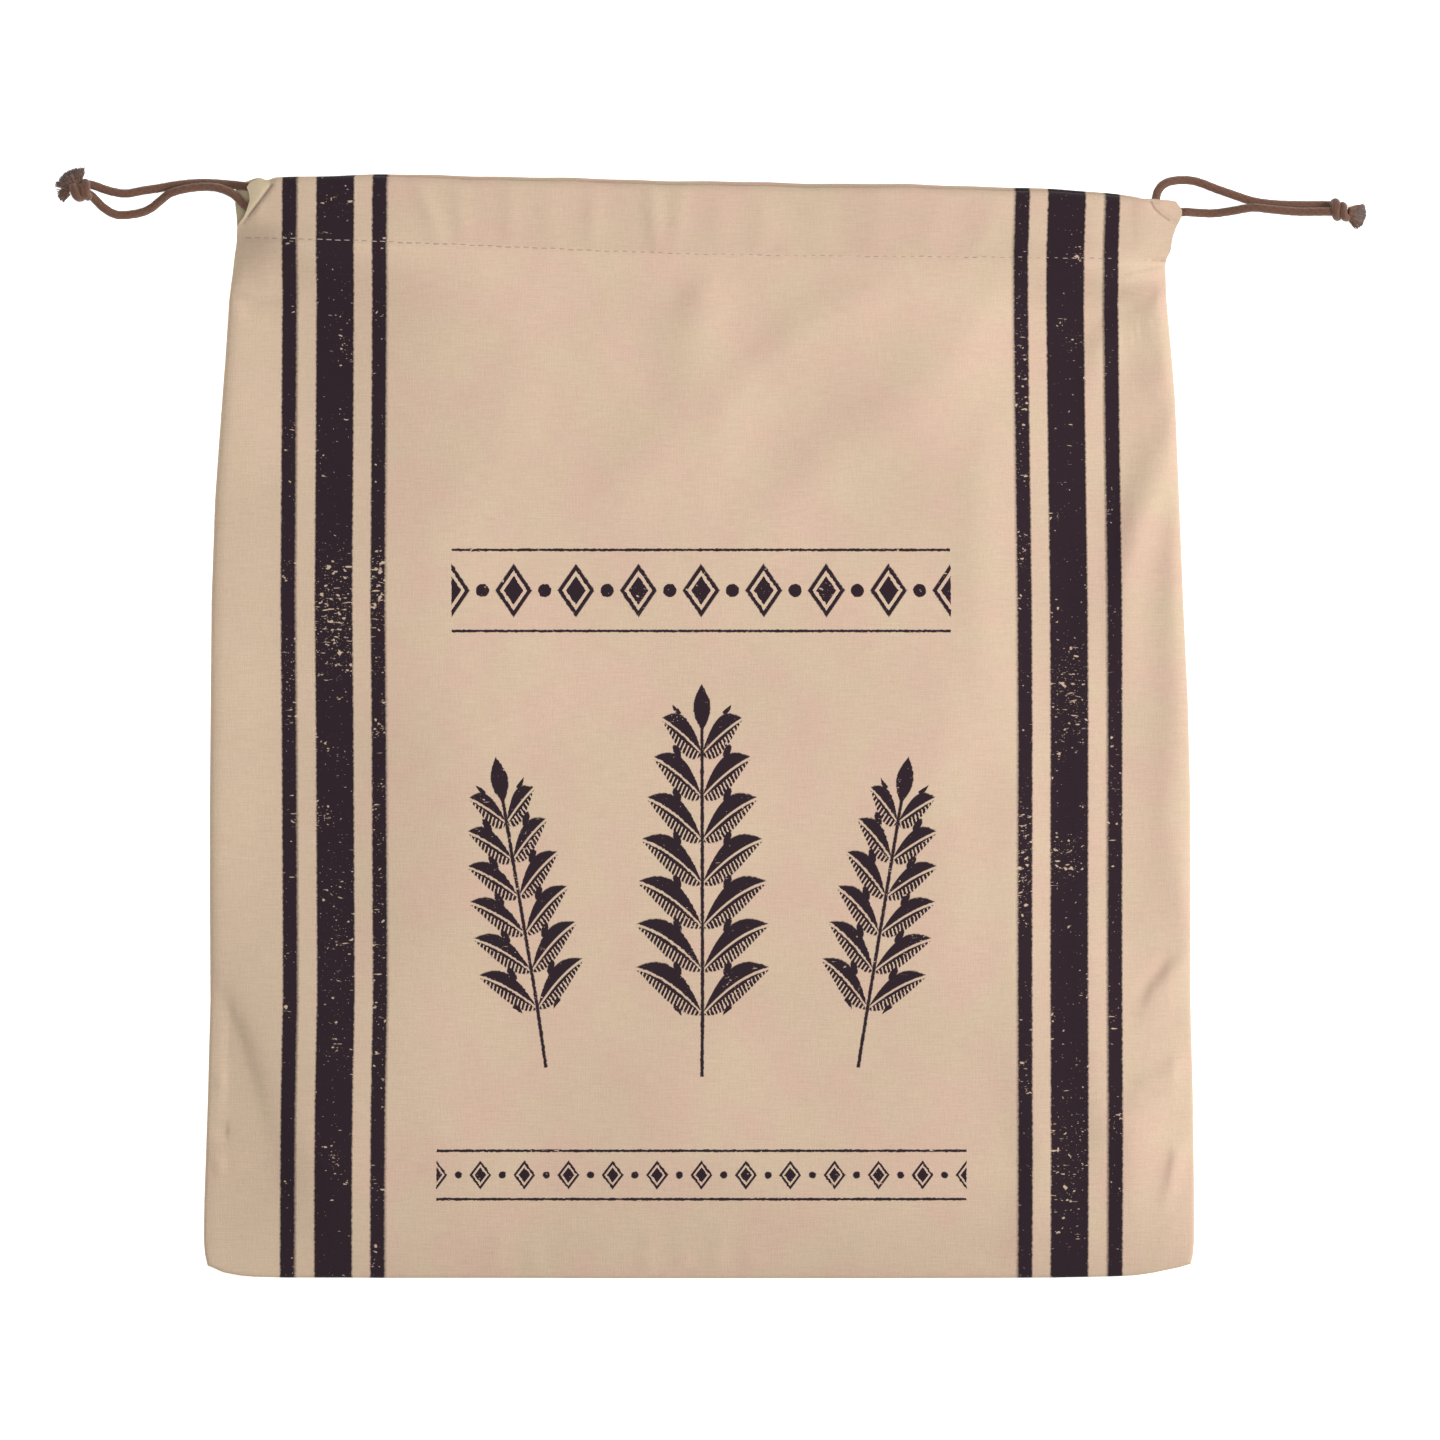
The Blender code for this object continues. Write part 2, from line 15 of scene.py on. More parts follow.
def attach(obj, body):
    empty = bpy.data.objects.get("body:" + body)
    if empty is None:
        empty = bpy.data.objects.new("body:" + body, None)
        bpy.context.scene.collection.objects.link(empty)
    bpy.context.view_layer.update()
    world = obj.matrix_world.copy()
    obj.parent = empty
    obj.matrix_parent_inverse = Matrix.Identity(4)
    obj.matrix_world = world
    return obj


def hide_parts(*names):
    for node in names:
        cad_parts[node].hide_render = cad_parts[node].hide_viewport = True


bl_info = {
    "name": "Bread bag",
    "version": (1, 0, 0),
    "blender": (4, 5, 0),
    "location": "3D View > Sidebar > Bread bag",
    "description": "Builds a flat cotton drawstring bag with its cords, stitches and printed stripes",
    "category": "Object",
}

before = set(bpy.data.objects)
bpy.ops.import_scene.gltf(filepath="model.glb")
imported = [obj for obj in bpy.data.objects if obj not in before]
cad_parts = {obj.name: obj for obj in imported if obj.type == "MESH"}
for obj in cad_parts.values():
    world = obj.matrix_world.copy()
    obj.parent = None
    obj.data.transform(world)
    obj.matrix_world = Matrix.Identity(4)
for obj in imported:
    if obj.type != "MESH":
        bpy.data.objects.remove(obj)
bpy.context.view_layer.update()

MM = 0.001

# The photograph's frame: pixels across, millimetres in a pixel, and the pixel of the origin
PHOTO_PIXELS = 1440
PHOTO_PIXEL_MM = 0.3465
PHOTO_ORIGIN = (698.0, 726.5)

# Cloth and casing, in mm
CLOTH = 1.0
GAP = 0.35
TUNNEL = 3.6
HEM_STEP = 1.2
TUNNEL_RISE = 8.5
HEM_LEFT = -149.0
HEM_RIGHT = 151.0
HEM_INSET_SPAN = 42.0
TRACK_BELOW_TOP = 5.6
TRACK_ABOVE_STITCH = 10.6
FOLD_RADIUS = TUNNEL / 2 + CLOTH
BRAID_PITCH = 3.2     # length of the cord in which a strand moves by one place
HIDDEN_RUN_END = 12.0  # the run inside a casing ends this far short of the free strand
STITCHES_LEFT = -156.5
STITCHES_RIGHT = 160.5
STITCH_SHARE = 0.74   # part of the pitch that a stitch takes up
STITCH_ABOVE_LINE = 0.4
BACK_STITCH_HEIGHT = 0.22
SEWN_DEPTH = 0.45     # the stitches pull the cloth in by this much
FLAP_DEPTH = 0.35     # the turned left corner lies this much lower than the cloth beside it
END_DEPTH = 0.25      # the same for the right corner
CREASE_DEPTH = 0.75

# The open ends of the front's casing sink towards the surface, in mm
LEFT_SINK = 1.6
LEFT_SINK_SPAN = 9.0
RIGHT_SINK = 3.2
RIGHT_SINK_SPAN = 17.0

# Loft of the empty bag, in mm
BODY_LOFT = 9.9
SIDE_ROUNDING = 28.0
FLAT_SIDE_SPAN = 76.0
SEAM_PART = 0.08      # part of the loft that a side has already beside its seam
SEAM_RISE = 1.3
STRIP_PART = 0.12     # part of the loft that the flat strip beside the seam adds
STRIP_RISE = 18.0
STRIP_END = 14.0      # where the rise to the middle starts
FLAT_SIDE_TOP = 20.0  # the flat sides come in over this span below the stitch line
FLAT_SIDE_LOW = -112.0
FLAT_SIDE_LOW_SPAN = 46.0
MOUTH_SIDE_ROUNDING = 12.0
MOUTH_SPAN = 70.0
MOUTH_LIFT = 3.4
BOTTOM_ROUNDING = 24.0
MOUTH_GAPE = 5.5
MOUTH_HALF_WIDTH = 150.0
SEAM_EDGE = 1.3       # width over which a turned seam rounds off
CLOSED_GAP = 0.05     # the two panels' gap at the seams

# The slanted crease of the left corner: its upper end, its run, and how far it goes
FLAP_START = (-147.2, 187.1)
FLAP_RUN = (-9.3, -12.6)
FLAP_LENGTH = 15.66
FLAP_REACH = 17.0
CREASE_START = (156.7, 181.1)    # upper end of the curved crease of the right corner

# Rows of the panels' meshes, in mm
HALF_WIDTH = 171.0
USUAL_WIDTH = 330.0
BODY_LENGTH = 355.0
FAR = 99.0            # a distance at which a turned seam has no effect
TUNNEL_STOPS = (HEM_STEP, 2.2, 3.2, 4.4, 5.8, 7.2, TUNNEL_RISE)
DOUBLED = 1.0         # added to the side's number where four layers lie on each other
TURNED = 1.55         # taken off it on the corner that is turned in
TURNED_ABOVE = 6.5    # height above which the left end is the front's and not the hem's

# How far the cloth has gone over from the panel's width to the hem's, down the hem from its fold
HEM_WEIGHTS = (1.0, 1.0, 1.0, 0.97, 0.9, 0.8, 0.7, 0.55, 0.4, 0.27, 0.15)
# The same round the fold at the mouth: angle in degrees, share
FOLD_WEIGHTS = (
    (-90, 0.0),
    (-72, 0.15),
    (-45, 0.45),
    (0, 0.8),
    (45, 0.95),
    (90, 1.0),
)

# Side edges: y, left x, right x
SIDE_EDGES = (
    (-191.5, -168.4, 167.6),
    (-189.0, -169.2, 169.2),
    (-186.6, -169.9, 170.6),
    (-183.1, -170.7, 171.5),
    (-177.9, -171.2, 171.9),
    (-164.1, -171.0, 171.9),
    (-129.4, -169.8, 171.5),
    (-94.8, -168.9, 170.6),
    (-60.1, -169.1, 170.6),
    (-25.5, -169.1, 170.6),
    (9.2, -168.8, 169.7),
    (43.8, -168.5, 168.1),
    (78.5, -167.3, 166.7),
    (95.8, -166.1, 166.0),
    (113.1, -164.8, 165.3),
    (130.5, -163.5, 163.9),
    (147.8, -162.4, 162.3),
    (159.5, -160.9, 161.9),
    (162.4, -160.6, 162.4),
    (164.4, -160.3, 163.6),
    (168.6, -159.7, 164.0),
)

# The ends of the two casings above the side seams: y, left x, right x
FRONT_CASING_ENDS = (
    (172.4, -159.5, 165.3),
    (174.0, -159.0, 166.1),
    (175.5, -157.4, 166.9),
    (177.0, -156.5, 167.4),
    (179.7, -155.6, 167.4),
    (181.8, -154.9, 165.2),
    (184.0, -155.1, 162.0),
    (188.3, -156.6, 156.0),
    (190.5, -156.9, 154.0),
)
BACK_CASING_ENDS = (
    (172.0, -159.6, 164.8),
    (176.6, -159.8, 166.4),
    (178.3, -160.0, 166.6),
    (180.6, -160.3, 164.4),
    (184.0, -160.3, 159.6),
    (187.0, -160.0, 157.0),
    (190.5, -157.5, 155.0),
)

# Edges along the width: x, bottom y, stitch line y, back top y, front top y
LONG_EDGES = (
    (-172.0, -186.2, 168.9, 189.2, 189.2),
    (-169.0, -187.6, 168.9, 189.4, 189.3),
    (-166.0, -189.1, 168.8, 189.6, 189.4),
    (-160.5, -190.2, 168.7, 189.9, 189.6),
    (-156.0, -190.6, 168.7, 190.0, 189.8),
    (-144.8, -190.9, 168.3, 190.1, 189.9),
    (-124.0, -190.9, 167.6, 190.9, 190.4),
    (-110.2, -191.0, 167.1, 191.2, 190.0),
    (-85.9, -191.0, 166.1, 190.8, 189.1),
    (-68.6, -191.0, 165.4, 190.5, 188.7),
    (-34.0, -191.1, 163.9, 189.6, 187.7),
    (0.7, -191.1, 162.7, 188.8, 186.8),
    (35.3, -191.1, 162.2, 188.2, 186.2),
    (70.0, -191.1, 161.9, 187.8, 185.9),
    (104.6, -191.0, 161.6, 186.9, 185.2),
    (125.4, -190.9, 161.4, 185.9, 184.6),
    (146.2, -190.5, 161.2, 184.3, 183.3),
    (151.0, -190.3, 161.1, 183.6, 182.9),
    (154.2, -190.1, 161.0, 182.9, 182.7),
    (159.8, -189.2, 161.0, 182.4, 183.0),
    (163.0, -188.4, 161.0, 181.8, 183.5),
    (165.2, -187.9, 161.0, 181.2, 183.7),
    (168.0, -187.2, 161.0, 180.4, 182.5),
    (172.0, -185.8, 161.0, 179.4, 181.0),
)

# Soft folds and creases of the front. Each is a line from its upper end down: x, y, half width on its
# left, half width on its right, height
FOLDS = {
    "centre": (
        (4.0, 161.0, 3.0, 5.0, 0.7),
        (1.5, 148.0, 7.0, 9.0, 2.3),
        (-1.0, 134.0, 12.0, 13.0, 2.3),
        (-1.0, 116.0, 14.0, 15.0, 2.2),
        (-10.0, 97.0, 13.0, 15.0, 2.1),
        (-26.0, 82.0, 11.0, 13.0, 1.57),
        (-46.0, 66.0, 12.0, 14.0, 0.18),
    ),
    "centre_right": (
        (76.0, 163.0, 6.0, 8.0, 0.32),
        (55.0, 147.0, 9.0, 8.0, 1.76),
        (36.0, 136.0, 9.0, 9.0, 2.08),
        (17.0, 121.0, 9.0, 10.0, 1.92),
        (8.0, 102.0, 10.0, 11.0, 1.44),
        (2.0, 80.0, 10.0, 11.0, 0.16),
    ),
    "long_right": (
        (108.0, 160.0, 5.0, 6.0, 0.45),
        (99.0, 142.0, 9.0, 9.0, 1.76),
        (87.0, 124.0, 13.0, 11.0, 2.55),
        (66.0, 106.0, 14.0, 12.0, 2.64),
        (44.0, 92.0, 11.0, 10.0, 1.94),
        (28.0, 76.0, 11.0, 11.0, 1.05),
        (12.0, 58.0, 12.0, 12.0, 0.15),
    ),
    "soft_left": (
        (-54.0, 154.0, 9.0, 12.0, 0.14),
        (-60.0, 134.0, 10.0, 13.0, 0.61),
        (-66.0, 108.0, 11.0, 13.0, 0.74),
        (-77.0, 86.0, 11.0, 13.0, 0.54),
        (-92.0, 68.0, 12.0, 14.0, 0.07),
    ),
    "inner_right": (
        (100.0, 106.0, 6.0, 8.0, 0.13),
        (98.0, 84.0, 8.0, 9.0, 1.3),
        (97.0, 56.0, 8.0, 9.0, 1.3),
        (98.0, 26.0, 8.0, 9.0, 0.91),
        (100.0, 4.0, 8.0, 9.0, 0.13),
    ),
    "inner_low": (
        (112.0, 2.0, 9.0, 8.0, 0.14),
        (112.0, -20.0, 10.0, 8.0, 1.3),
        (111.0, -70.0, 9.0, 8.0, 1.01),
        (112.0, -120.0, 9.0, 8.0, 0.58),
        (118.0, -152.0, 5.0, 7.0, 1.3),
        (112.0, -176.0, 6.0, 8.0, 0.72),
    ),
    "between_right": (
        (146.0, 146.0, 5.0, 5.0, 0.47),
        (140.0, 132.0, 5.0, 6.0, 2.11),
        (135.0, 112.0, 5.0, 6.0, 0.23),
    ),
    "stripe_right": (
        (136.0, 72.0, 5.0, 7.0, 0.16),
        (135.0, 44.0, 5.0, 7.0, 1.4),
        (134.0, 10.0, 6.0, 8.0, 1.72),
        (134.0, -60.0, 6.0, 8.0, 0.94),
        (137.0, -120.0, 5.0, 7.0, 0.78),
        (140.0, -140.0, 4.5, 7.0, 1.4),
        (139.0, -158.0, 5.0, 7.0, 0.16),
    ),
    "sewn_right_a": (
        (164.0, 161.0, 2.0, 1.4, -0.98),
        (154.0, 157.8, 1.8, 1.3, -1.56),
        (143.0, 155.0, 1.8, 1.3, -0.39),
    ),
    "sewn_right_b": (
        (167.0, 157.0, 5.0, 3.0, -1.08),
        (157.0, 150.5, 4.5, 3.0, -2.7),
        (147.0, 147.0, 4.5, 4.0, -1.8),
        (139.0, 141.0, 4.5, 4.0, -0.36),
    ),
    "top_right": (
        (167.0, 158.0, 8.0, 5.0, 1.08),
        (165.0, 149.5, 12.0, 6.0, 3.92),
        (161.5, 139.0, 12.0, 6.0, 2.29),
        (159.0, 131.0, 9.0, 6.0, 0.14),
    ),
    "upper_right": (
        (169.0, 130.0, 5.0, 4.0, 0.65),
        (165.0, 122.5, 9.0, 5.0, 2.99),
        (155.0, 114.0, 7.0, 5.0, 0.26),
    ),
    "ridge_right": (
        (171.0, 112.0, 4.0, 4.0, 1.33),
        (162.0, 93.0, 8.0, 6.0, 3.42),
        (153.5, 72.0, 8.0, 6.0, 3.88),
        (147.5, 52.0, 6.0, 6.5, 2.83),
        (146.0, 28.0, 5.0, 7.0, 1.79),
        (147.0, 4.0, 5.0, 7.0, 0.14),
    ),
    "edge_right": (
        (168.0, 82.0, 3.5, 3.0, 0.23),
        (165.5, 60.0, 4.5, 4.0, 1.38),
        (165.0, 34.0, 5.0, 4.5, 1.38),
        (166.0, 2.0, 6.0, 4.5, 1.26),
        (163.0, -30.0, 5.0, 5.0, 1.03),
        (167.0, -54.0, 6.0, 4.0, 1.03),
        (168.0, -68.0, 4.0, 4.0, 0.11),
    ),
    "deep_right": (
        (175.0, -79.0, 2.6, 6.0, 1.26),
        (166.0, -84.0, 2.8, 7.0, 2.16),
        (158.0, -92.5, 3.2, 8.0, 1.8),
        (152.0, -104.0, 4.0, 8.0, 0.18),
    ),
    "deep_groove": (
        (172.0, -74.5, 2.2, 1.6, -0.54),
        (162.0, -80.5, 2.4, 1.8, -1.08),
        (155.0, -90.0, 3.0, 2.0, -0.72),
        (151.5, -100.0, 3.0, 2.0, -0.09),
    ),
    "second_right": (
        (174.0, -112.0, 3.0, 5.0, 1.65),
        (165.0, -118.5, 3.2, 6.0, 2.89),
        (156.0, -124.0, 4.0, 7.0, 1.85),
        (148.0, -132.0, 4.0, 7.0, 0.41),
    ),
    "bulge_right": (
        (153.0, -124.0, 8.0, 12.0, 0.41),
        (150.5, -142.0, 6.0, 12.0, 2.43),
        (150.0, -160.0, 6.0, 12.0, 1.35),
        (150.0, -178.0, 7.0, 10.0, 0.14),
    ),
    "third_right": (
        (174.0, -141.0, 2.6, 3.5, 1.08),
        (166.5, -149.0, 2.8, 4.0, 2.81),
        (163.5, -160.0, 3.0, 4.0, 1.3),
        (160.0, -168.0, 3.0, 4.0, 0.22),
    ),
    "fourth_right": (
        (174.0, -166.0, 3.0, 3.5, 0.56),
        (165.0, -173.0, 3.0, 4.0, 1.26),
        (159.0, -184.0, 4.0, 5.0, 0.56),
    ),
    "corner_left": (
        (-166.0, 151.0, 2.4, 2.4, -0.6),
        (-155.5, 146.0, 2.6, 3.0, -1.2),
        (-146.0, 147.5, 3.0, 3.0, -1.0),
        (-139.0, 151.0, 3.0, 3.0, -0.1),
    ),
    "swell_left": (
        (-163.0, 158.0, 5.0, 5.0, 0.5),
        (-150.0, 156.0, 5.0, 5.0, 0.8),
    ),
    "hem_left": (
        (-163.0, 169.0, 1.6, 1.6, -0.5),
        (-147.0, 163.5, 1.6, 1.6, -0.3),
    ),
    "shelf_left": (
        (-172.0, -91.0, 6.0, 2.4, -0.36),
        (-165.5, -94.5, 9.0, 3.2, -1.08),
        (-160.0, -106.0, 12.0, 3.6, -1.37),
        (-155.5, -121.0, 12.0, 4.2, -1.3),
        (-152.0, -136.0, 12.0, 5.5, -0.94),
        (-148.0, -154.0, 12.0, 7.0, -0.65),
        (-145.0, -172.0, 12.0, 8.0, -0.22),
    ),
    "dent_left_a": (
        (-174.0, -120.0, 1.6, 1.6, -1.72),
        (-166.0, -123.0, 1.6, 2.0, 1.14),
    ),
    "dent_left_b": (
        (-175.0, -135.5, 1.6, 1.6, -2.5),
        (-165.0, -140.0, 1.8, 1.8, -1.87),
    ),
    "dent_left_c": (
        (-175.0, -148.0, 1.6, 1.6, 1.82),
        (-166.0, -152.0, 1.8, 1.8, 1.3),
    ),
    "bottom_left": (
        (-134.0, -130.0, 9.0, 20.0, 0.18),
        (-130.0, -152.0, 10.0, 20.0, 1.62),
        (-124.0, -176.0, 10.0, 20.0, 0.54),
    ),
    "pucker_a": (
        (-68.0, -174.0, 2.4, 2.4, 0.1),
        (-71.0, -192.0, 2.4, 2.4, 0.7),
    ),
    "pucker_b": (
        (-57.0, -176.0, 2.0, 2.0, 0.1),
        (-56.0, -192.0, 2.0, 2.0, 0.6),
    ),
    "pucker_c": (
        (-17.0, -172.0, 2.4, 2.4, 0.1),
        (-18.0, -192.0, 2.4, 2.4, 0.7),
    ),
    "pucker_d": (
        (-5.0, -177.0, 2.2, 2.2, 0.1),
        (-6.0, -192.0, 2.2, 2.2, 0.5),
    ),
    "pucker_e": (
        (8.0, -173.0, 2.4, 2.4, 0.1),
        (6.0, -192.0, 2.4, 2.4, 0.7),
    ),
    "pucker_f": (
        (18.0, -176.0, 2.2, 2.2, 0.1),
        (18.0, -192.0, 2.2, 2.2, 0.6),
    ),
    "broad_low": (
        (20.0, -112.0, 16.0, 18.0, 0.1),
        (-6.0, -124.0, 16.0, 18.0, 0.6),
        (-36.0, -132.0, 16.0, 18.0, 0.1),
    ),
}

# Gathers of the casing: x at the top, x at the stitch line, width, height
GATHERS = (
    (-97.0, -89.0, 2.6, 0.75),
    (-82.5, -81.0, 2.2, 0.6),
    (-64.5, -65.0, 2.4, 0.52),
    (-52.0, -50.0, 3.0, 0.3),
    (-36.0, -36.5, 2.2, 0.68),
    (-16.0, -14.0, 2.2, 1.2),
    (-5.0, -9.0, 2.4, 0.83),
    (8.0, 7.0, 3.6, 0.52),
    (23.0, 21.0, 3.0, 0.45),
    (40.0, 44.0, 4.0, 0.33),
    (63.0, 60.0, 4.5, 0.38),
    (84.0, 78.0, 4.5, 0.38),
    (104.0, 96.0, 4.0, 0.52),
    (138.0, 136.0, 3.0, 0.45),
)

# Free strands from the casing to the knot: x, y, z of the centreline
LEFT_UPPER = (
    (-149.2, 186.2, 2.8),
    (-156.3, 187.0, 2.85),
    (-161.5, 187.6, 2.8),
    (-171.3, 188.25, 1.65),
    (-179.7, 187.65, 1.6),
    (-186.8, 186.4, 1.6),
    (-192.2, 185.6, 1.6),
    (-198.2, 184.6, 1.6),
    (-204.1, 185.6, 1.6),
    (-210.0, 187.6, 1.9),
)
LEFT_LOWER = (
    (-149.6, 179.0, 8.65),
    (-152.2, 178.6, 8.2),
    (-155.2, 179.1, 7.4),
    (-157.8, 181.3, 6.6),
    (-160.8, 184.2, 5.85),
    (-165.4, 186.2, 5.1),
    (-170.8, 186.8, 4.7),
    (-177.3, 186.1, 4.5),
    (-182.6, 184.6, 3.8),
    (-185.7, 182.4, 2.7),
    (-189.9, 179.2, 1.7),
    (-194.6, 177.6, 1.6),
    (-201.1, 177.2, 1.6),
    (-205.9, 179.7, 1.65),
    (-209.8, 183.6, 1.9),
)
RIGHT_UPPER = (
    (152.0, 177.0, 8.75),
    (154.7, 177.45, 8.35),
    (156.65, 178.75, 7.7),
    (157.9, 180.6, 6.9),
    (158.45, 182.8, 6.0),
    (159.1, 185.2, 5.0),
    (160.7, 187.3, 4.1),
    (163.1, 188.6, 3.2),
    (166.8, 189.2, 2.35),
    (171.0, 189.05, 1.75),
    (174.6, 188.1, 1.6),
    (179.0, 186.4, 1.6),
    (185.0, 184.3, 1.6),
    (191.9, 182.0, 1.6),
    (198.5, 181.0, 1.6),
    (207.2, 180.6, 1.6),
    (218.4, 180.5, 1.65),
)
RIGHT_LOWER = (
    (152.0, 171.9, 2.8),
    (157.0, 173.4, 2.85),
    (162.0, 176.2, 2.9),
    (167.4, 178.1, 2.85),
    (173.3, 177.9, 1.75),
    (178.8, 177.7, 1.75),
    (185.0, 178.5, 2.9),
    (191.9, 179.6, 4.6),
    (198.1, 179.0, 4.7),
    (207.2, 178.2, 4.6),
    (218.3, 178.2, 4.9),
)

# Drawstrings: side, first strand, second strand, first in front, first in upper track, turn x, reach
DRAWSTRINGS = (
    ("left", LEFT_UPPER, LEFT_LOWER, False, True, 151.6, 3.6),
    ("right", RIGHT_UPPER, RIGHT_LOWER, True, True, -149.6, -3.5),
)

# Wraps of the knots: side, x, y, z, ring radius, cord radius, turn about z, tilt about y (degrees)
KNOT_WRAPS = (
    ("left", -211.8, 185.8, 3.75, 2.3, 1.50, 12.0, 4.0),
    ("left", -215.1, 184.8, 3.75, 2.3, 1.55, 38.0, -8.0),
    ("left", -213.4, 185.2, 4.95, 1.25, 1.45, 30.0, 58.0),
    ("right", 220.7, 178.9, 3.85, 2.45, 1.50, 8.0, 6.0),
    ("right", 223.7, 178.2, 3.75, 2.2, 1.45, 20.0, -8.0),
)

FIBRE_RADII = (0.27, 0.15)  # of a loose fibre, at its root and at its tip

# Where the strands go on into the knots: side, strand, x, y, z
KNOT_ENTRIES = (
    ("left", "upper", -212.6, 187.4, 2.9),
    ("left", "lower", -212.2, 185.0, 2.8),
    ("right", "upper", 221.6, 180.2, 2.6),
    ("right", "lower", 221.4, 178.0, 4.4),
)

# Frayed ends: side, start x, y, z, heading (degrees), length, spread (degrees), start half width, share
FRAYED_ENDS = (
    ("left", -215.5, 187.0, 3.6, 121.0, 5.9, 36.0, 2.4, 1.0),
    ("left", -217.4, 186.2, 3.0, 166.0, 3.2, 20.0, 1.2, 0.3),
    ("left", -217.9, 185.0, 2.4, 208.0, 4.0, 20.0, 0.7, 0.25),
    ("right", 225.0, 177.9, 3.3, -6.0, 6.3, 15.0, 1.5, 0.8),
    ("right", 225.4, 176.9, 2.9, -36.0, 5.6, 14.0, 1.0, 0.45),
)

# Sideways drift of the print: y, left stripes, right stripes
PRINT_DRIFT = (
    (-192.0, -0.9, 0.3),
    (-130.0, -0.4, 0.2),
    (-95.0, 0.3, 0.1),
    (0.0, -0.2, 0.2),
    (44.0, -0.6, 0.0),
    (110.0, -0.2, -0.9),
    (162.0, 0.1, -1.5),
    (192.0, 0.3, -0.5),
)
PRINT_CENTRE = 1.4
PRINT_REACH = 160.0   # the ramp of the stripes ends here
STRIPE_SOFT = 0.14    # half width of a stripe's soft edge
WEAVE_SPACING = 0.85

# Thin shaded lines where the cloth is pressed into a crease: x and y of both ends, half width,
# share of the light that is left in the middle
CREASE_LINES = (
    (-147.2, 187.1, -151.0, 182.1, 0.62, 0.62),
    (-151.0, 182.1, -155.4, 176.4, 0.55, 0.56),
    (-155.4, 176.4, -157.0, 173.9, 0.50, 0.74),
    (156.7, 181.2, 157.9, 179.1, 0.60, 0.62),
    (157.9, 179.1, 160.1, 177.0, 0.60, 0.66),
    (160.1, 177.0, 163.0, 175.1, 0.60, 0.74),
    (-159.0, 149.0, -151.5, 146.6, 2.60, 0.94),
    (-151.5, 146.6, -146.5, 147.4, 2.60, 0.93),
    (147.5, 149.0, 160.0, 152.0, 4.20, 0.93),
    (148.0, 156.2, 160.5, 159.0, 0.90, 0.93),
)

# Printed stripes each side of the centre: inner edge and outer edge
STRIPES = (
    (108.8, 113.9),
    (120.4, 133.6),
    (140.0, 145.2),
)

# Areas where more of the print has worn off: across, y, half width, half height, strength
WORN_AREAS = (
    (-127.0, 38.0, 10.0, 32.0, 0.84),
    (-111.5, 47.0, 5.0, 22.0, 0.80),
    (-111.5, 20.0, 5.0, 10.0, 0.55),
    (-142.0, 18.0, 5.0, 26.0, 0.6),
    (-126.0, 140.0, 9.0, 12.0, 0.35),
    (-124.0, 105.0, 6.0, 9.0, 0.35),
    (-126.0, -72.0, 9.0, 50.0, 0.45),
    (-111.5, -80.0, 5.0, 60.0, 0.5),
    (111.0, 118.0, 5.0, 42.0, 0.55),
    (111.0, -46.0, 5.0, 34.0, 0.8),
    (127.0, 12.0, 10.0, 26.0, 0.75),
    (125.0, -46.0, 10.0, 12.0, 0.7),
    (127.0, -150.0, 10.0, 34.0, 0.55),
    (142.0, -30.0, 5.0, 40.0, 0.3),
)

# Lights: name, place in m, the point it is turned to in m, width in m, power in W
LIGHTS = (
    ("key_light", (1.60, 0.06, 1.25), (0.0, 0.0, 0.0), 0.7, 40.0),
    ("overhead_light", (-0.14, 0.13, 0.80), (-0.14, 0.13, 0.0), 0.3, 3.3),
)


class BreadBagSettings(bpy.types.PropertyGroup):
    """Sizes and colours of the bread bag."""

    cloth_colour: StringProperty(name="Cloth", description="Unbleached cotton, sRGB hex", default="#BAA58E")
    cloth_pink: StringProperty(
        name="Cloth, pinker", description="Pinker areas of the cotton, sRGB hex", default="#BCA18E"
    )
    cloth_wrong: StringProperty(
        name="Cloth, wrong side", description="Inner side of the cotton, sRGB hex", default="#AFA385"
    )
    ink_colour: StringProperty(
        name="Ink", description="Printed stripes and motifs, sRGB hex", default="#271B21"
    )
    cord_colour: StringProperty(name="Cord", description="Brown cord, sRGB hex", default="#604030")
    # Dark colour of the cord: painted shade between its strands, and darker random patches
    cord_tone_and_gap_shade: StringProperty(
        name="Cord, dark", description="Between the cord's strands, sRGB hex", default="#3F291F"
    )
    fray_colour: StringProperty(
        name="Frayed ends", description="Loose fibres of the cord, sRGB hex", default="#5A4842"
    )
    thread_colour: StringProperty(name="Thread", description="Sewing thread, sRGB hex", default="#94857A")
    floor_colour: StringProperty(
        name="Surface", description="Pale surface under the bag, sRGB hex", default="#F6F5F1"
    )
    cord_diameter: FloatProperty(
        name="Cord diameter", description="Thickness of the cord", default=0.003, unit="LENGTH"
    )
    stitch_pitch: FloatProperty(
        name="Stitch pitch", description="From stitch to stitch", default=0.0031, unit="LENGTH"
    )
    thread_width: FloatProperty(
        name="Thread width", description="Thickness of the sewing thread", default=0.0004, unit="LENGTH"
    )
    cloth_step: FloatProperty(
        name="Cloth step", description="Size of the cloth's faces", default=0.0024, unit="LENGTH"
    )
    fray_fibres: IntProperty(
        name="Fibres", description="Loose fibres in the larger frayed end", default=620, min=20
    )
    camera_height: FloatProperty(
        name="Camera height", description="Camera above the surface", default=4.0, unit="LENGTH"
    )


def linear_colour(hex_text):
    """An sRGB hex value as linear RGBA."""
    channels = [int(hex_text[i : i + 2], 16) / 255 for i in (1, 3, 5)]
    linear = [c / 12.92 if c <= 0.04045 else ((c + 0.055) / 1.055) ** 2.4 for c in channels]
    return (*linear, 1.0)


def smooth_step(value):
    t = np.clip(value, 0.0, 1.0)
    return t * t * (3.0 - 2.0 * t)


def read_table(table, at, value_index):
    rows = np.array(table)
    return np.interp(at, rows[:, 0], rows[:, value_index])


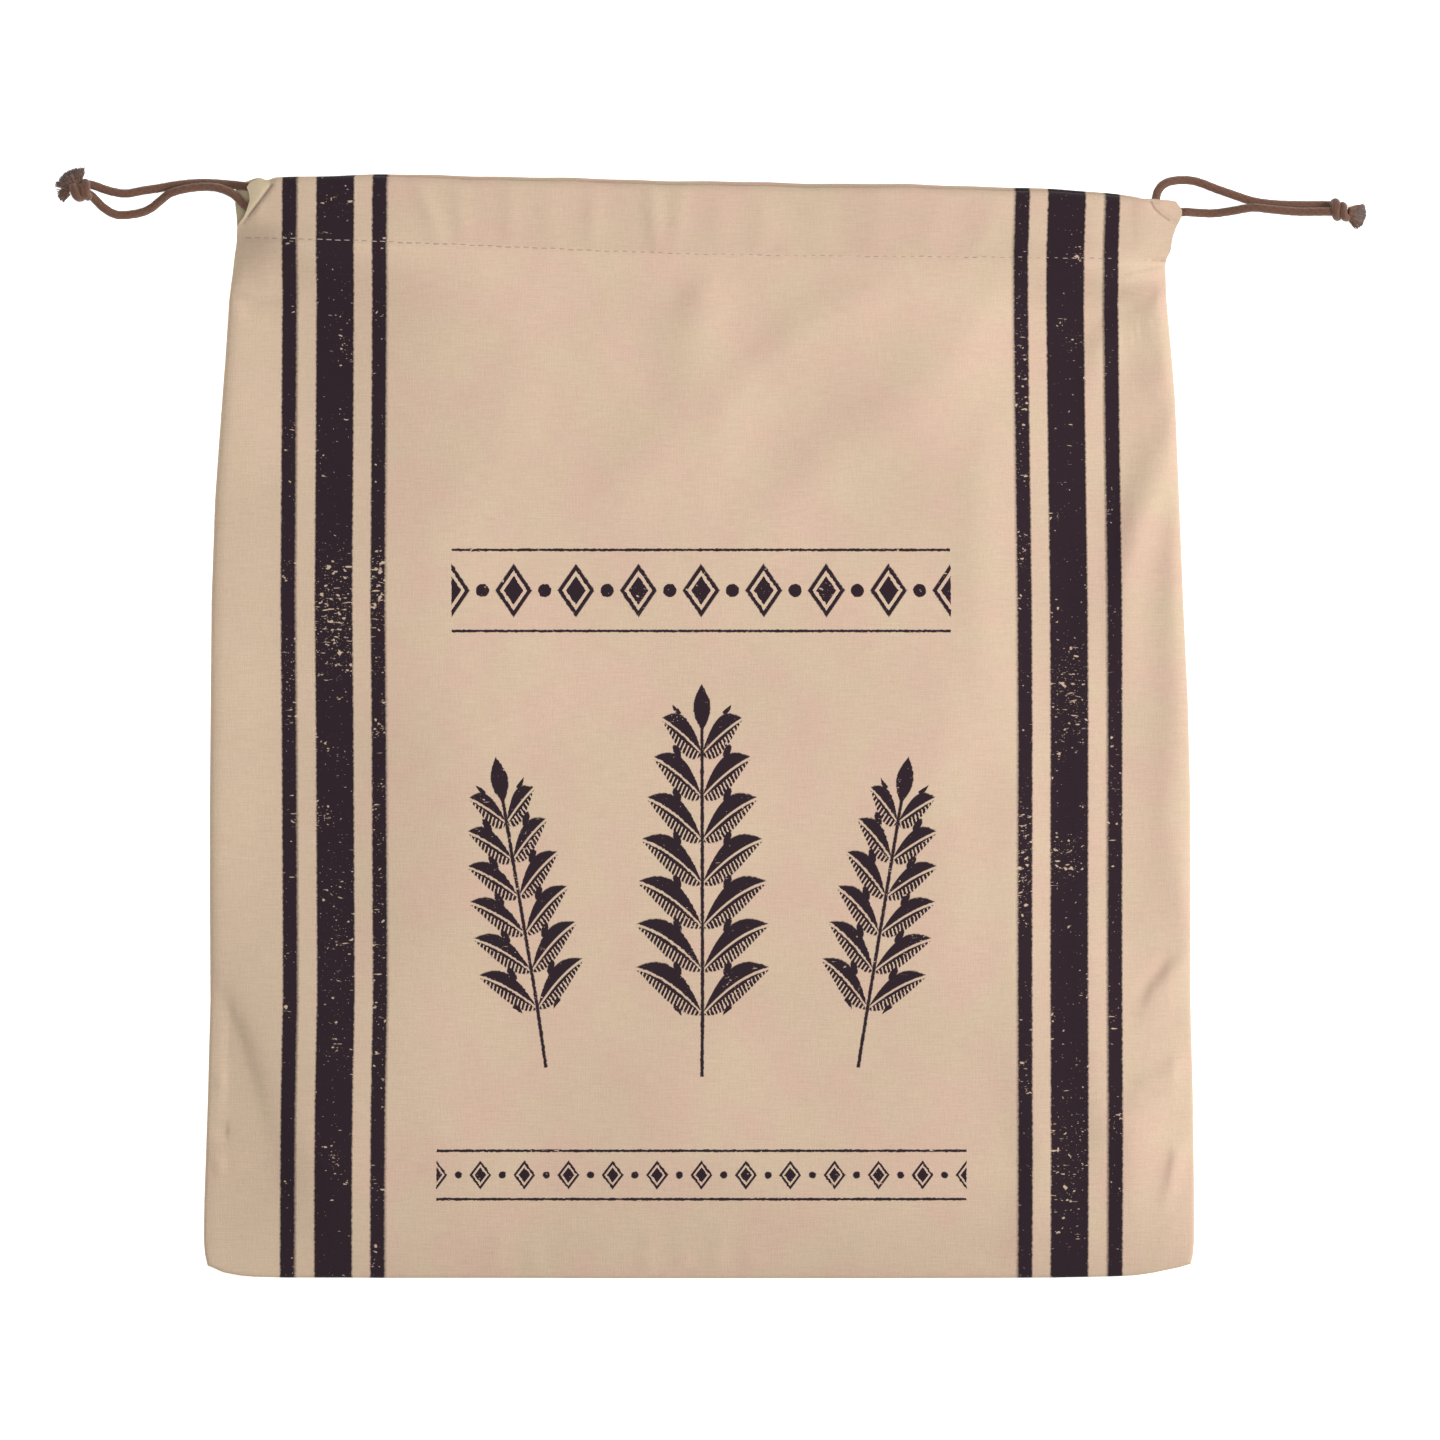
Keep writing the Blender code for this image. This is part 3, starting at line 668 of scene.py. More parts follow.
def edge_fill(distance, rounding, power=1.25):
    return 1.0 - np.exp(-((np.maximum(0.0, distance) / rounding) ** power))


def flat_side(distance):
    inside = np.maximum(0.0, distance)
    seam = 1.0 - np.exp(-inside / SEAM_RISE)
    strip = 1.0 - np.exp(-inside / STRIP_RISE)
    middle = smooth_step((inside - STRIP_END) / FLAT_SIDE_SPAN)
    return SEAM_PART * seam + STRIP_PART * strip + (1.0 - SEAM_PART - STRIP_PART) * middle


def below_mouth(x, y):
    return smooth_step((read_table(LONG_EDGES, x, 2) - y) / MOUTH_SPAN)


def body_fill(x, y):
    """Loft of the front cloth, without its folds."""
    left = read_table(SIDE_EDGES + FRONT_CASING_ENDS, y, 1)
    right = read_table(SIDE_EDGES + FRONT_CASING_ENDS, y, 2)
    body = below_mouth(x, y)
    rounding = MOUTH_SIDE_ROUNDING + (SIDE_ROUNDING - MOUTH_SIDE_ROUNDING) * body
    round_sides = edge_fill(x - left, rounding) * edge_fill(right - x, rounding)
    # Between the casing and the lower quarter the seams lie low and the cloth rises slowly
    flat_sides = flat_side(x - left) * flat_side(right - x)
    flat = smooth_step((read_table(LONG_EDGES, x, 2) - y - 0.5) / FLAT_SIDE_TOP)
    flat = flat * smooth_step((y - FLAT_SIDE_LOW) / FLAT_SIDE_LOW_SPAN)
    sides = round_sides + (flat_sides - round_sides) * flat
    bottom = edge_fill(y - read_table(LONG_EDGES, x, 1), BOTTOM_ROUNDING)
    return (BODY_LOFT + MOUTH_LIFT * (1.0 - body)) * sides * bottom


def fold_height(x, y):
    """Height of all folds: across each line a rounded ridge or groove with its own two flanks."""
    total = np.zeros(np.broadcast(x, y).shape)
    for line in FOLDS.values():
        nearest = np.full_like(total, 1e9)
        height = np.zeros_like(total)
        for start, end in zip(line, line[1:]):
            dx = end[0] - start[0]
            dy = end[1] - start[1]
            length = math.hypot(dx, dy)
            along = ((x - start[0]) * dx + (y - start[1]) * dy) / length
            across = ((x - start[0]) * dy - (y - start[1]) * dx) / length
            part = np.clip(along / length, 0.0, 1.0)
            over = along - part * length
            side = smooth_step(0.5 + across / 3.0)
            left_width = start[2] + (end[2] - start[2]) * part
            right_width = start[3] + (end[3] - start[3]) * part
            width = right_width + (left_width - right_width) * side
            distance = np.hypot(across, over) / width
            ridge = (start[4] + (end[4] - start[4]) * part) * np.exp(-(distance**2))
            height = np.where(distance < nearest, ridge, height)
            nearest = np.minimum(nearest, distance)
        total = total + height
    return total


def unevenness(x, y):
    return (
        0.22 * np.sin(x / 23.0 + 0.8 * np.sin(y / 41.0))
        + 0.20 * np.sin(y / 29.0 + x / 57.0 + 1.3)
        + 0.12 * np.sin((x - y) / 15.0)
    )


def fine_wrinkles(x, y):
    """Small creases that the cloth keeps from being turned and ironed."""
    wave = np.sin(x / 6.3 + 1.9 * np.sin(y / 17.0 + x / 31.0))
    cross = np.sin(y / 7.1 + 1.6 * np.sin(x / 19.0 - y / 43.0))
    patch = 0.5 + 0.5 * np.sin(x / 37.0 + 1.1) * np.sin(y / 33.0 - 0.6)
    return 0.05 * (wave + cross) * patch


def tunnel_part(s):
    """From 0 beside the stitches to 1 where the casing has its full height."""
    return smooth_step((s - HEM_STEP) / (TUNNEL_RISE - HEM_STEP))


def hem_top(s):
    return CLOTH + CLOTH * np.clip(s / HEM_STEP, 0.0, 1.0) + TUNNEL * tunnel_part(s)


def mouth_gape(x):
    return MOUTH_GAPE * (1.0 - np.minimum(1.0, np.abs(x) / MOUTH_HALF_WIDTH) ** 4)


def end_sink(x, s):
    """How far the front's casing has sunk at its open ends, beyond the ends of its hem."""
    left = LEFT_SINK * smooth_step((HEM_LEFT - 1.0 - x) / LEFT_SINK_SPAN)
    right = RIGHT_SINK * smooth_step((x - HEM_RIGHT) / RIGHT_SINK_SPAN)
    return (left + right) * tunnel_part(s)


def body_underside(x, y):
    fill = body_fill(x, y)
    rim = np.minimum(1.0, fill / 1.5)
    calm = smooth_step((read_table(LONG_EDGES, x, 2) - y) / 16.0)
    lift = fill + rim * calm * (fold_height(x, y) + unevenness(x, y))
    return CLOTH + GAP + np.maximum(0.0, lift)


def casing_underside(x, s, y):
    weight = (hem_top(s) - CLOTH) / (TUNNEL + CLOTH)
    low = CLOTH + GAP + body_fill(x, y)
    high = TUNNEL + 2.0 * CLOTH + GAP + mouth_gape(x)
    return low * (1.0 - weight) + high * weight


def gather_height(x, s, depth):
    """Small upright gathers of the casing over the cords."""
    total = 0.0
    part = np.clip(s / np.maximum(depth, 1.0), 0.0, 1.0)
    for top_x, stitch_x, width, height in GATHERS:
        middle = stitch_x + (top_x - stitch_x) * part
        total = total + height * np.exp(-(((x - middle) / width) ** 2))
    return total * np.sin(math.pi * np.clip(part * 0.85 + 0.1, 0.0, 1.0))


def flap_line(x, y):
    """Distances along and across the slanted crease of the left corner, across growing to the left."""
    from_x = x - FLAP_START[0]
    from_y = y - FLAP_START[1]
    along = (from_x * FLAP_RUN[0] + from_y * FLAP_RUN[1]) / FLAP_LENGTH
    across = (from_x * FLAP_RUN[1] - from_y * FLAP_RUN[0]) / FLAP_LENGTH
    return along, across


def flap_step(x, y):
    """At the left end the casing's corner is turned in: 1 beyond its slanted crease, 0 on the cloth."""
    along, across = flap_line(x, y)
    return smooth_step((across + 0.1) / 0.7) * smooth_step((FLAP_REACH - along) / 3.0)


def flap_groove(x, y):
    along, across = flap_line(x, y)
    reach = smooth_step((along + 1.5) / 2.0) * smooth_step((FLAP_REACH - along) / 4.0)
    return np.exp(-(((across - 0.1) / 0.8) ** 2)) * reach


def end_line(x, y):
    """At the right end a curved crease crosses the corner: 1 beyond it."""
    across = crease_distance(x, y)
    return smooth_step((across + 0.4) / 1.6) * smooth_step((y - 172.0) / 4.0)


def crease_distance(x, y):
    """Distance across the curved crease of the right corner."""
    down = np.clip((CREASE_START[1] - y) / 6.0, 0.0, 1.3)
    return (x - (CREASE_START[0] + 6.3 * down**1.45)) * 0.72


def end_groove(x, y):
    reach = smooth_step((y - 172.5) / 3.0) * smooth_step((181.4 - y) / 2.0)
    return np.exp(-(((crease_distance(x, y) - 0.2) / 0.9) ** 2)) * reach


def front_top(x, y):
    """Upper side of the front cloth, over the body and the casing."""
    stitch = read_table(LONG_EDGES, x, 2)
    depth = read_table(LONG_EDGES, x, 4) - stitch
    s = y - stitch
    body = body_underside(x, y) + fine_wrinkles(x, y)
    casing = casing_underside(x, np.maximum(s, 0.0), y) + CLOTH * np.clip(s / HEM_STEP, 0.0, 1.0)
    casing = casing + TUNNEL * tunnel_part(s) + gather_height(x, s, depth) - end_sink(x, s)
    base = np.where(s > 0.0, casing, body)
    sewn = -SEWN_DEPTH * np.exp(-(((s - 0.4) / 0.7) ** 2)) * smooth_step((x + 158.0) / 6.0)
    return base + CLOTH + sewn - corner_creases(x, y)


def corner_creases(x, y):
    left = FLAP_DEPTH * flap_step(x, y) + CREASE_DEPTH * flap_groove(x, y)
    right = END_DEPTH * end_line(x, y) + CREASE_DEPTH * end_groove(x, y)
    return left + right


def edge_stops(fine_stops, step, total):
    """Positions from 0 to total: fine steps at both ends and even ones between."""
    count = max(2, round((total - 2.0 * fine_stops[-1]) / step))
    inner = np.linspace(fine_stops[-1], total - fine_stops[-1], count + 1)
    ends = [total - stop for stop in reversed(fine_stops[:-1])]
    return np.array([*fine_stops[:-1], *inner, *ends])


def print_place(x, y):
    """x as the print sees it: stripes keep their drift, and 0 is the middle of the print."""
    side = smooth_step((x + 60.0) / 120.0)
    drift = read_table(PRINT_DRIFT, y, 1) * (1.0 - side) + read_table(PRINT_DRIFT, y, 2) * side
    return x - PRINT_CENTRE - drift


class Panel:
    """A cloth panel as rows of points along its section, each row across the whole width."""

    def __init__(self, is_front, step):
        self.is_front = is_front
        self.edges = SIDE_EDGES + (FRONT_CASING_ENDS if is_front else BACK_CASING_ENDS)
        self.top_index = 4 if is_front else 3
        self.step = step
        fine = [0.0, 0.35, 0.8] + [1.4 + 0.62 * i for i in range(31)]
        self.u = edge_stops(fine, step, USUAL_WIDTH) / USUAL_WIDTH
        self.rows = []

    def place_x(self, y, weight):
        left = read_table(self.edges, y, 1)
        right = read_table(self.edges, y, 2)
        width = right - left
        near_left = np.maximum(0.0, 1.0 - self.u * width / HEM_INSET_SPAN) ** 2
        near_right = np.maximum(0.0, 1.0 - (1.0 - self.u) * width / HEM_INSET_SPAN) ** 2
        shift = near_left * (HEM_LEFT - left) + near_right * (HEM_RIGHT - right)
        return left + self.u * width + weight * shift

    def casing_at(self, x):
        stitch = read_table(LONG_EDGES, x, 2)
        return stitch, read_table(LONG_EDGES, x, self.top_index) - stitch - FOLD_RADIUS

    def add_main_row(self, y, distance_from_end):
        """A row of the outer cloth, rounded off at the turned seams."""
        x = self.place_x(y, 0.0)
        left = read_table(self.edges, y, 1)
        right = read_table(self.edges, y, 2)
        stitch = read_table(LONG_EDGES, x, 2)
        seam = np.minimum(np.minimum(x - left, right - x), distance_from_end)
        below = smooth_step((stitch + 3.0 - y) / 6.0)
        part = np.clip(seam / SEAM_EDGE, 0.0, 1.0)
        rounded = np.maximum(0.12, np.sqrt(np.maximum(0.0, 1.0 - (1.0 - part) ** 2)))
        thickness = CLOTH * (rounded * below + 1.0 - below)
        if self.is_front:
            high = front_top(x, y)
            closed = below * (GAP - CLOSED_GAP) * (1.0 - smooth_step(seam / 4.0))
            low = high - CLOTH - closed
            self.rows.append(((x, y, low + thickness), (x, y, low), y))
        else:
            high = np.full_like(x, CLOTH)
            self.rows.append(((x, y, high - thickness), (x, y, high), y))

    def make_rows(self):
        guide_x = -HALF_WIDTH + 2.0 * HALF_WIDTH * self.u
        bottom = read_table(LONG_EDGES, guide_x, 1)
        stitch, flat_end = self.casing_at(guide_x)
        body = edge_stops([0.0, 0.35, 0.8, 1.4, 2.2, 3.6, 5.4], self.step, BODY_LENGTH) / BODY_LENGTH
        for part in body[:-1]:
            distance = part * (stitch - bottom)
            self.add_main_row(bottom + distance, distance)
        far = np.full_like(stitch, FAR)
        self.add_main_row(stitch, far)
        stitch_row = len(self.rows) - 1
        for s in TUNNEL_STOPS:
            self.add_main_row(stitch + s, far)
        for part in np.linspace(0.0, 1.0, 22 if self.is_front else 9)[1:]:
            self.add_main_row(stitch + TUNNEL_RISE + part * (flat_end - TUNNEL_RISE), far)
        self.add_fold(stitch + flat_end)
        self.add_hem(stitch + flat_end, stitch)
        return stitch_row

    def add_fold(self, guide_y):
        """The cloth turns over the mouth's edge into the hem."""
        for angle in range(75, -91, -15):
            x = self.place_x(guide_y, read_table(FOLD_WEIGHTS, -angle, 1))
            stitch, flat_end = self.casing_at(x)
            centre_y = stitch + flat_end
            reach = math.cos(math.radians(angle))
            climb = math.sin(math.radians(angle))
            ripple = 0.14 * reach * (np.sin(x / 9.0) + 0.6 * np.sin(x / 3.7 + 1.0))
            ripple = ripple - reach * np.exp(-(((x - HEM_LEFT) / 1.8) ** 2))
            y_out = centre_y + FOLD_RADIUS * reach + ripple
            y_in = centre_y + (FOLD_RADIUS - CLOTH) * reach + ripple
            if self.is_front:
                middle = casing_underside(x, flat_end, centre_y) + FOLD_RADIUS
                upper = 0.5 + 0.5 * climb
                extra = gather_height(x, flat_end, flat_end + FOLD_RADIUS)
                extra = extra - corner_creases(x, centre_y) - end_sink(x, flat_end)
                middle = middle + upper * extra
                turn = climb
            else:
                middle = np.full_like(x, FOLD_RADIUS)
                turn = -climb
            outer = (x, y_out, middle + FOLD_RADIUS * turn)
            inner = (x, y_in, middle + (FOLD_RADIUS - CLOTH) * turn)
            self.rows.append((outer, inner, centre_y + FOLD_RADIUS * math.radians(90.0 - angle)))

    def add_hem(self, guide_y, guide_stitch):
        x = self.place_x(guide_y, 1.0)
        flat_end = self.casing_at(x)[1]
        runs = [TUNNEL_RISE + part * (flat_end - TUNNEL_RISE) for part in (0.8, 0.6, 0.4, 0.2)]
        for s, weight in zip(runs + list(reversed(TUNNEL_STOPS)), HEM_WEIGHTS):
            x = self.place_x(guide_stitch + s, weight)
            y = self.casing_at(x)[0] + s
            inner_s = s if weight > 0.2 else 1.8
            inner_y = y + inner_s - s
            if self.is_front:
                low = casing_underside(x, s, y)
                inner_low = casing_underside(x, inner_s, inner_y) + CLOTH
            else:
                low = hem_top(s)
                inner_low = hem_top(inner_s) - CLOTH
            self.rows.append(((x, y, low), (x, inner_y, inner_low), 2.0 * guide_y - y))

    def build(self, name, material):
        stitch_row = self.make_rows()
        rows = len(self.rows)
        columns = len(self.u)
        points = np.zeros((rows, columns, 2, 3))
        place = np.zeros((rows, columns, 2, 3))
        for index, (outer, inner, cloth_y) in enumerate(self.rows):
            for side, (x, y, z) in enumerate((outer, inner)):
                points[index, :, side, 0] = x
                points[index, :, side, 1] = y
                points[index, :, side, 2] = z
                place[index, :, side, 0] = print_place(x, y)
                place[index, :, side, 1] = cloth_y
                place[index, :, side, 2] = 1.0 - side
        # The casing has four layers of cloth, so less light comes up through it
        place[stitch_row + 1 :, :, 0, 2] += DOUBLED
        if self.is_front:
            turned = flap_step(points[:, :, 0, 0], points[:, :, 0, 1])
            place[:, :, 0, 2] -= TURNED * turned * (points[:, :, 0, 2] > TURNED_ABOVE)
        number = np.arange(rows * columns * 2).reshape(rows, columns, 2)
        # The hem ends on the inner face, between the stitch row and the row above it
        last = np.stack([number[stitch_row, :, 1], number[stitch_row + 1, :, 1]], axis=1)
        number = np.concatenate([number, last[None]], axis=0)
        outer = quads(number[:-1, :-1, 0], number[:-1, 1:, 0], number[1:, 1:, 0], number[1:, :-1, 0])
        inner_rows = np.array([row for row in range(rows) if row != stitch_row])
        inner = quads(
            number[inner_rows, :-1, 1],
            number[inner_rows + 1, :-1, 1],
            number[inner_rows + 1, 1:, 1],
            number[inner_rows, 1:, 1],
        )
        bottom = quads(number[0, :-1, 0], number[0, :-1, 1], number[0, 1:, 1], number[0, 1:, 0])
        left = quads(number[:-1, 0, 0], number[1:, 0, 0], number[1:, 0, 1], number[:-1, 0, 1])
        right = quads(number[:-1, -1, 0], number[:-1, -1, 1], number[1:, -1, 1], number[1:, -1, 0])
        faces = np.concatenate([outer, inner, bottom, left, right])
        if not self.is_front:
            faces = faces[:, ::-1]
        item = make_mesh(name, points.reshape(-1, 3), faces, material)
        add_place(item, "cloth_place", place.reshape(-1, 3))
        item.data.set_sharp_from_angle(angle=math.radians(60.0))
        return item


def quads(a, b, c, d):
    return np.stack([a, b, c, d], axis=-1).reshape(-1, 4)


def make_mesh(name, points_mm, faces, material):
    """A smooth mesh object from points in mm and rows of corner numbers."""
    data = bpy.data.meshes.new(name)
    data.from_pydata((np.asarray(points_mm) * MM).tolist(), [], [list(map(int, f)) for f in faces])
    data.materials.append(material)
    data.shade_smooth()
    item = bpy.data.objects.new(name, data)
    bpy.context.scene.collection.objects.link(item)
    return item


def add_place(item, name, values):
    """Stores where each point lies on the cloth or cord, in mm, for the material."""
    layer = item.data.attributes.new(name, "FLOAT_VECTOR", "POINT")
    layer.data.foreach_set("vector", np.asarray(values, dtype=np.float32).ravel())


def running_length(path):
    return np.concatenate([[0.0], np.cumsum(np.linalg.norm(np.diff(path, axis=0), axis=1))])


def smooth_line(points, step):
    """Points a step apart on a Catmull-Rom curve through the route's own points."""
    route = np.array(points, dtype=float)
    route = np.vstack([2 * route[0] - route[1], route, 2 * route[-1] - route[-2]])
    dense = []
    for i in range(1, len(route) - 2):
        p0, p1, p2, p3 = route[i - 1 : i + 3]
        for t in np.linspace(0.0, 1.0, 24, endpoint=False):
            line = 2 * p1 + (p2 - p0) * t + (2 * p0 - 5 * p1 + 4 * p2 - p3) * t**2
            dense.append(0.5 * (line + (3 * p1 - p0 - 3 * p2 + p3) * t**3))
    dense.append(route[-2])
    dense = np.array(dense)
    lengths = running_length(dense)
    stops = np.linspace(0.0, lengths[-1], max(2, round(lengths[-1] / step)) + 1)
    return np.stack([np.interp(stops, lengths, dense[:, axis]) for axis in range(3)], axis=1)


def track_point(x, upper, in_front):
    """Centre of a cord inside a casing: the upper or the lower of the two tracks."""
    stitch = float(read_table(LONG_EDGES, x, 2))
    top = min(float(read_table(LONG_EDGES, x, 3)), float(read_table(LONG_EDGES, x, 4)))
    y = top - TRACK_BELOW_TOP if upper else stitch + TRACK_ABOVE_STITCH
    if in_front:
        z = TUNNEL + 2.0 * CLOTH + GAP + float(mouth_gape(x)) + CLOTH + TUNNEL / 2
    else:
        z = CLOTH + TUNNEL / 2
    return (x, y, z)


def half_turn(start, end, reach):
    points = []
    for angle in (18.0, 42.0, 66.0, 90.0, 114.0, 138.0, 162.0):
        part = 0.5 - 0.5 * math.cos(math.radians(angle))
        bulge = reach * math.sin(math.radians(angle))
        y = start[1] + part * (end[1] - start[1])
        z = start[2] + part * (end[2] - start[2])
        points.append((start[0] + bulge, y, z))
    return points


def cord_halves(first_strand, second_strand, first_in_front, first_upper, turn_x, reach):
    """The two halves of a drawstring, each from the middle of its hidden half turn to the knot."""
    way = 1.0 if turn_x > first_strand[0][0] else -1.0
    start_x = first_strand[0][0] + way * HIDDEN_RUN_END
    stops = [float(x) for x in np.linspace(turn_x, start_x, 24)]
    first_run = [track_point(x, first_upper, first_in_front) for x in stops]
    second_run = [track_point(x, not first_upper, not first_in_front) for x in stops]
    turn = half_turn(first_run[0], second_run[0], reach)
    first = np.vstack([turn[3::-1], first_run, first_strand])
    second = np.vstack([turn[3:], second_run, second_strand])
    return smooth_line(first, 1.0), smooth_line(second, 1.0)


def tube_frames(path):
    """Unit directions across and up for each point of a path."""
    along = np.gradient(path, axis=0)
    along /= np.linalg.norm(along, axis=1)[:, None]
    up = np.tile(np.array([0.0, 0.0, 1.0]), (len(path), 1))
    across = np.cross(up, along)
    weak = np.linalg.norm(across, axis=1) < 0.3
    across[weak] = np.cross(np.array([0.0, 1.0, 0.0]), along[weak])
    for i in range(1, len(across)):
        if np.dot(across[i], across[i - 1]) < 0:
            across[i] = -across[i]
    across /= np.linalg.norm(across, axis=1)[:, None]
    return across, np.cross(along, across)


def tube_skin(path, across, up, radius, lengths, angle):
    """Points round a path, and the place of each on the cord: length and angle."""
    points = (
        path[:, None, :]
        + across[:, None, :] * (radius * np.cos(angle))[:, :, None]
        + up[:, None, :] * (radius * np.sin(angle))[:, :, None]
    )
    place = np.zeros_like(points)
    place[:, :, 0] = lengths[:, None]
    place[:, :, 1] = angle[None, :]
    return points, place


def tube_mesh(path, radius, sides, relief):
    """Points, faces and places of a closed tube; relief gives a radius factor from length and angle."""
    across, up = tube_frames(path)
    lengths = running_length(path)
    angle = np.linspace(0.0, 2.0 * math.pi, sides, endpoint=False)
    radius = np.broadcast_to(radius, (len(path),))[:, None] * relief(lengths[:, None], angle[None, :])
    points, place = tube_skin(path, across, up, radius, lengths, angle)
    number = np.arange(len(path) * sides).reshape(len(path), sides)
    beyond = np.roll(number, -1, axis=1)
    faces = [list(f) for f in quads(number[:-1], beyond[:-1], beyond[1:], number[1:])]
    faces.append(list(number[0][::-1]))
    faces.append(list(number[-1]))
    return points.reshape(-1, 3), faces, place.reshape(-1, 3)


def even_relief(length, angle):
    return np.ones(np.broadcast(length, angle).shape)


def braid_relief(length, angle):
    """Strands crossing each other round the cord: two sets of low ridges that take turns."""
    one_way = np.cos(5.0 * angle + 2.0 * math.pi * length / BRAID_PITCH)
    other_way = np.cos(5.0 * angle - 2.0 * math.pi * length / BRAID_PITCH)
    return 0.985 + 0.016 * np.maximum(one_way, other_way) + 0.014 * np.sin(length / 3.3 + angle)


def join_parts(parts):
    """Joins (points, faces, places) of several closed bodies into one list of each."""
    points, faces, places = [], [], []
    count = 0
    for part_points, part_faces, part_places in parts:
        points.append(part_points)
        places.append(part_places)
        faces.extend([[int(c) + count for c in face] for face in part_faces])
        count += len(part_points)
    return np.vstack(points), faces, np.vstack(places)


# Actions of a step that are no sum of plain numbers: the node, its settings, and the output that is read
STEP_KINDS = {
    "NOISE": ("ShaderNodeTexNoise", {}, "Fac"),
    "MIX": ("ShaderNodeMix", {"data_type": "RGBA"}, "Result"),
    "BUMP": ("ShaderNodeBump", {}, "Normal"),
    "MAP": ("ShaderNodeMapRange", {}, "Result"),
    "CLAMP": ("ShaderNodeClamp", {}, "Result"),
    "SCALE": ("ShaderNodeVectorMath", {"operation": "SCALE"}, "Vector"),
    "DOT_PRODUCT": ("ShaderNodeVectorMath", {"operation": "DOT_PRODUCT"}, "Value"),
    "VECTOR_MULTIPLY": ("ShaderNodeVectorMath", {"operation": "MULTIPLY"}, "Vector"),
    "VECTOR_SUBTRACT": ("ShaderNodeVectorMath", {"operation": "SUBTRACT"}, "Vector"),
}


def add_node(tree, kind, inputs=(), **settings):
    """Adds a node with its settings; an input is a value or another node's output."""
    node = tree.nodes.new(kind)
    for name, value in settings.items():
        setattr(node, name, value)
    items = inputs.items() if isinstance(inputs, dict) else enumerate(inputs)
    for key, value in items:
        if isinstance(value, bpy.types.NodeSocket):
            tree.links.new(value, node.inputs[key])
        elif value is not None:
            node.inputs[key].default_value = value
    return node


def run_steps(tree, known, rows):
    """Adds a node for each row: name, action, then its inputs in order or in one dict.

    An input may name an earlier row, and then takes that node's output.
    """
    for name, action, *inputs in rows:
        kind, settings, output = STEP_KINDS.get(action, ("ShaderNodeMath", {"operation": action}, "Value"))
        items = inputs[0] if isinstance(inputs[0], dict) else dict(enumerate(inputs))
        ready = {}
        for key, item in items.items():
            ready[key] = known[item] if isinstance(item, str) else item
        known[name] = add_node(tree, kind, ready, **settings).outputs[output]
    return known[name]


def new_material(name, surface):
    """A material with one shader, and the values that its surface has."""
    material = bpy.data.materials.new(name)
    material.use_nodes = True
    tree = material.node_tree
    tree.nodes.clear()
    output = add_node(tree, "ShaderNodeOutputMaterial")
    shader = add_node(tree, "ShaderNodeBsdfPrincipled", surface)
    tree.links.new(shader.outputs["BSDF"], output.inputs["Surface"])
    return material, tree, shader


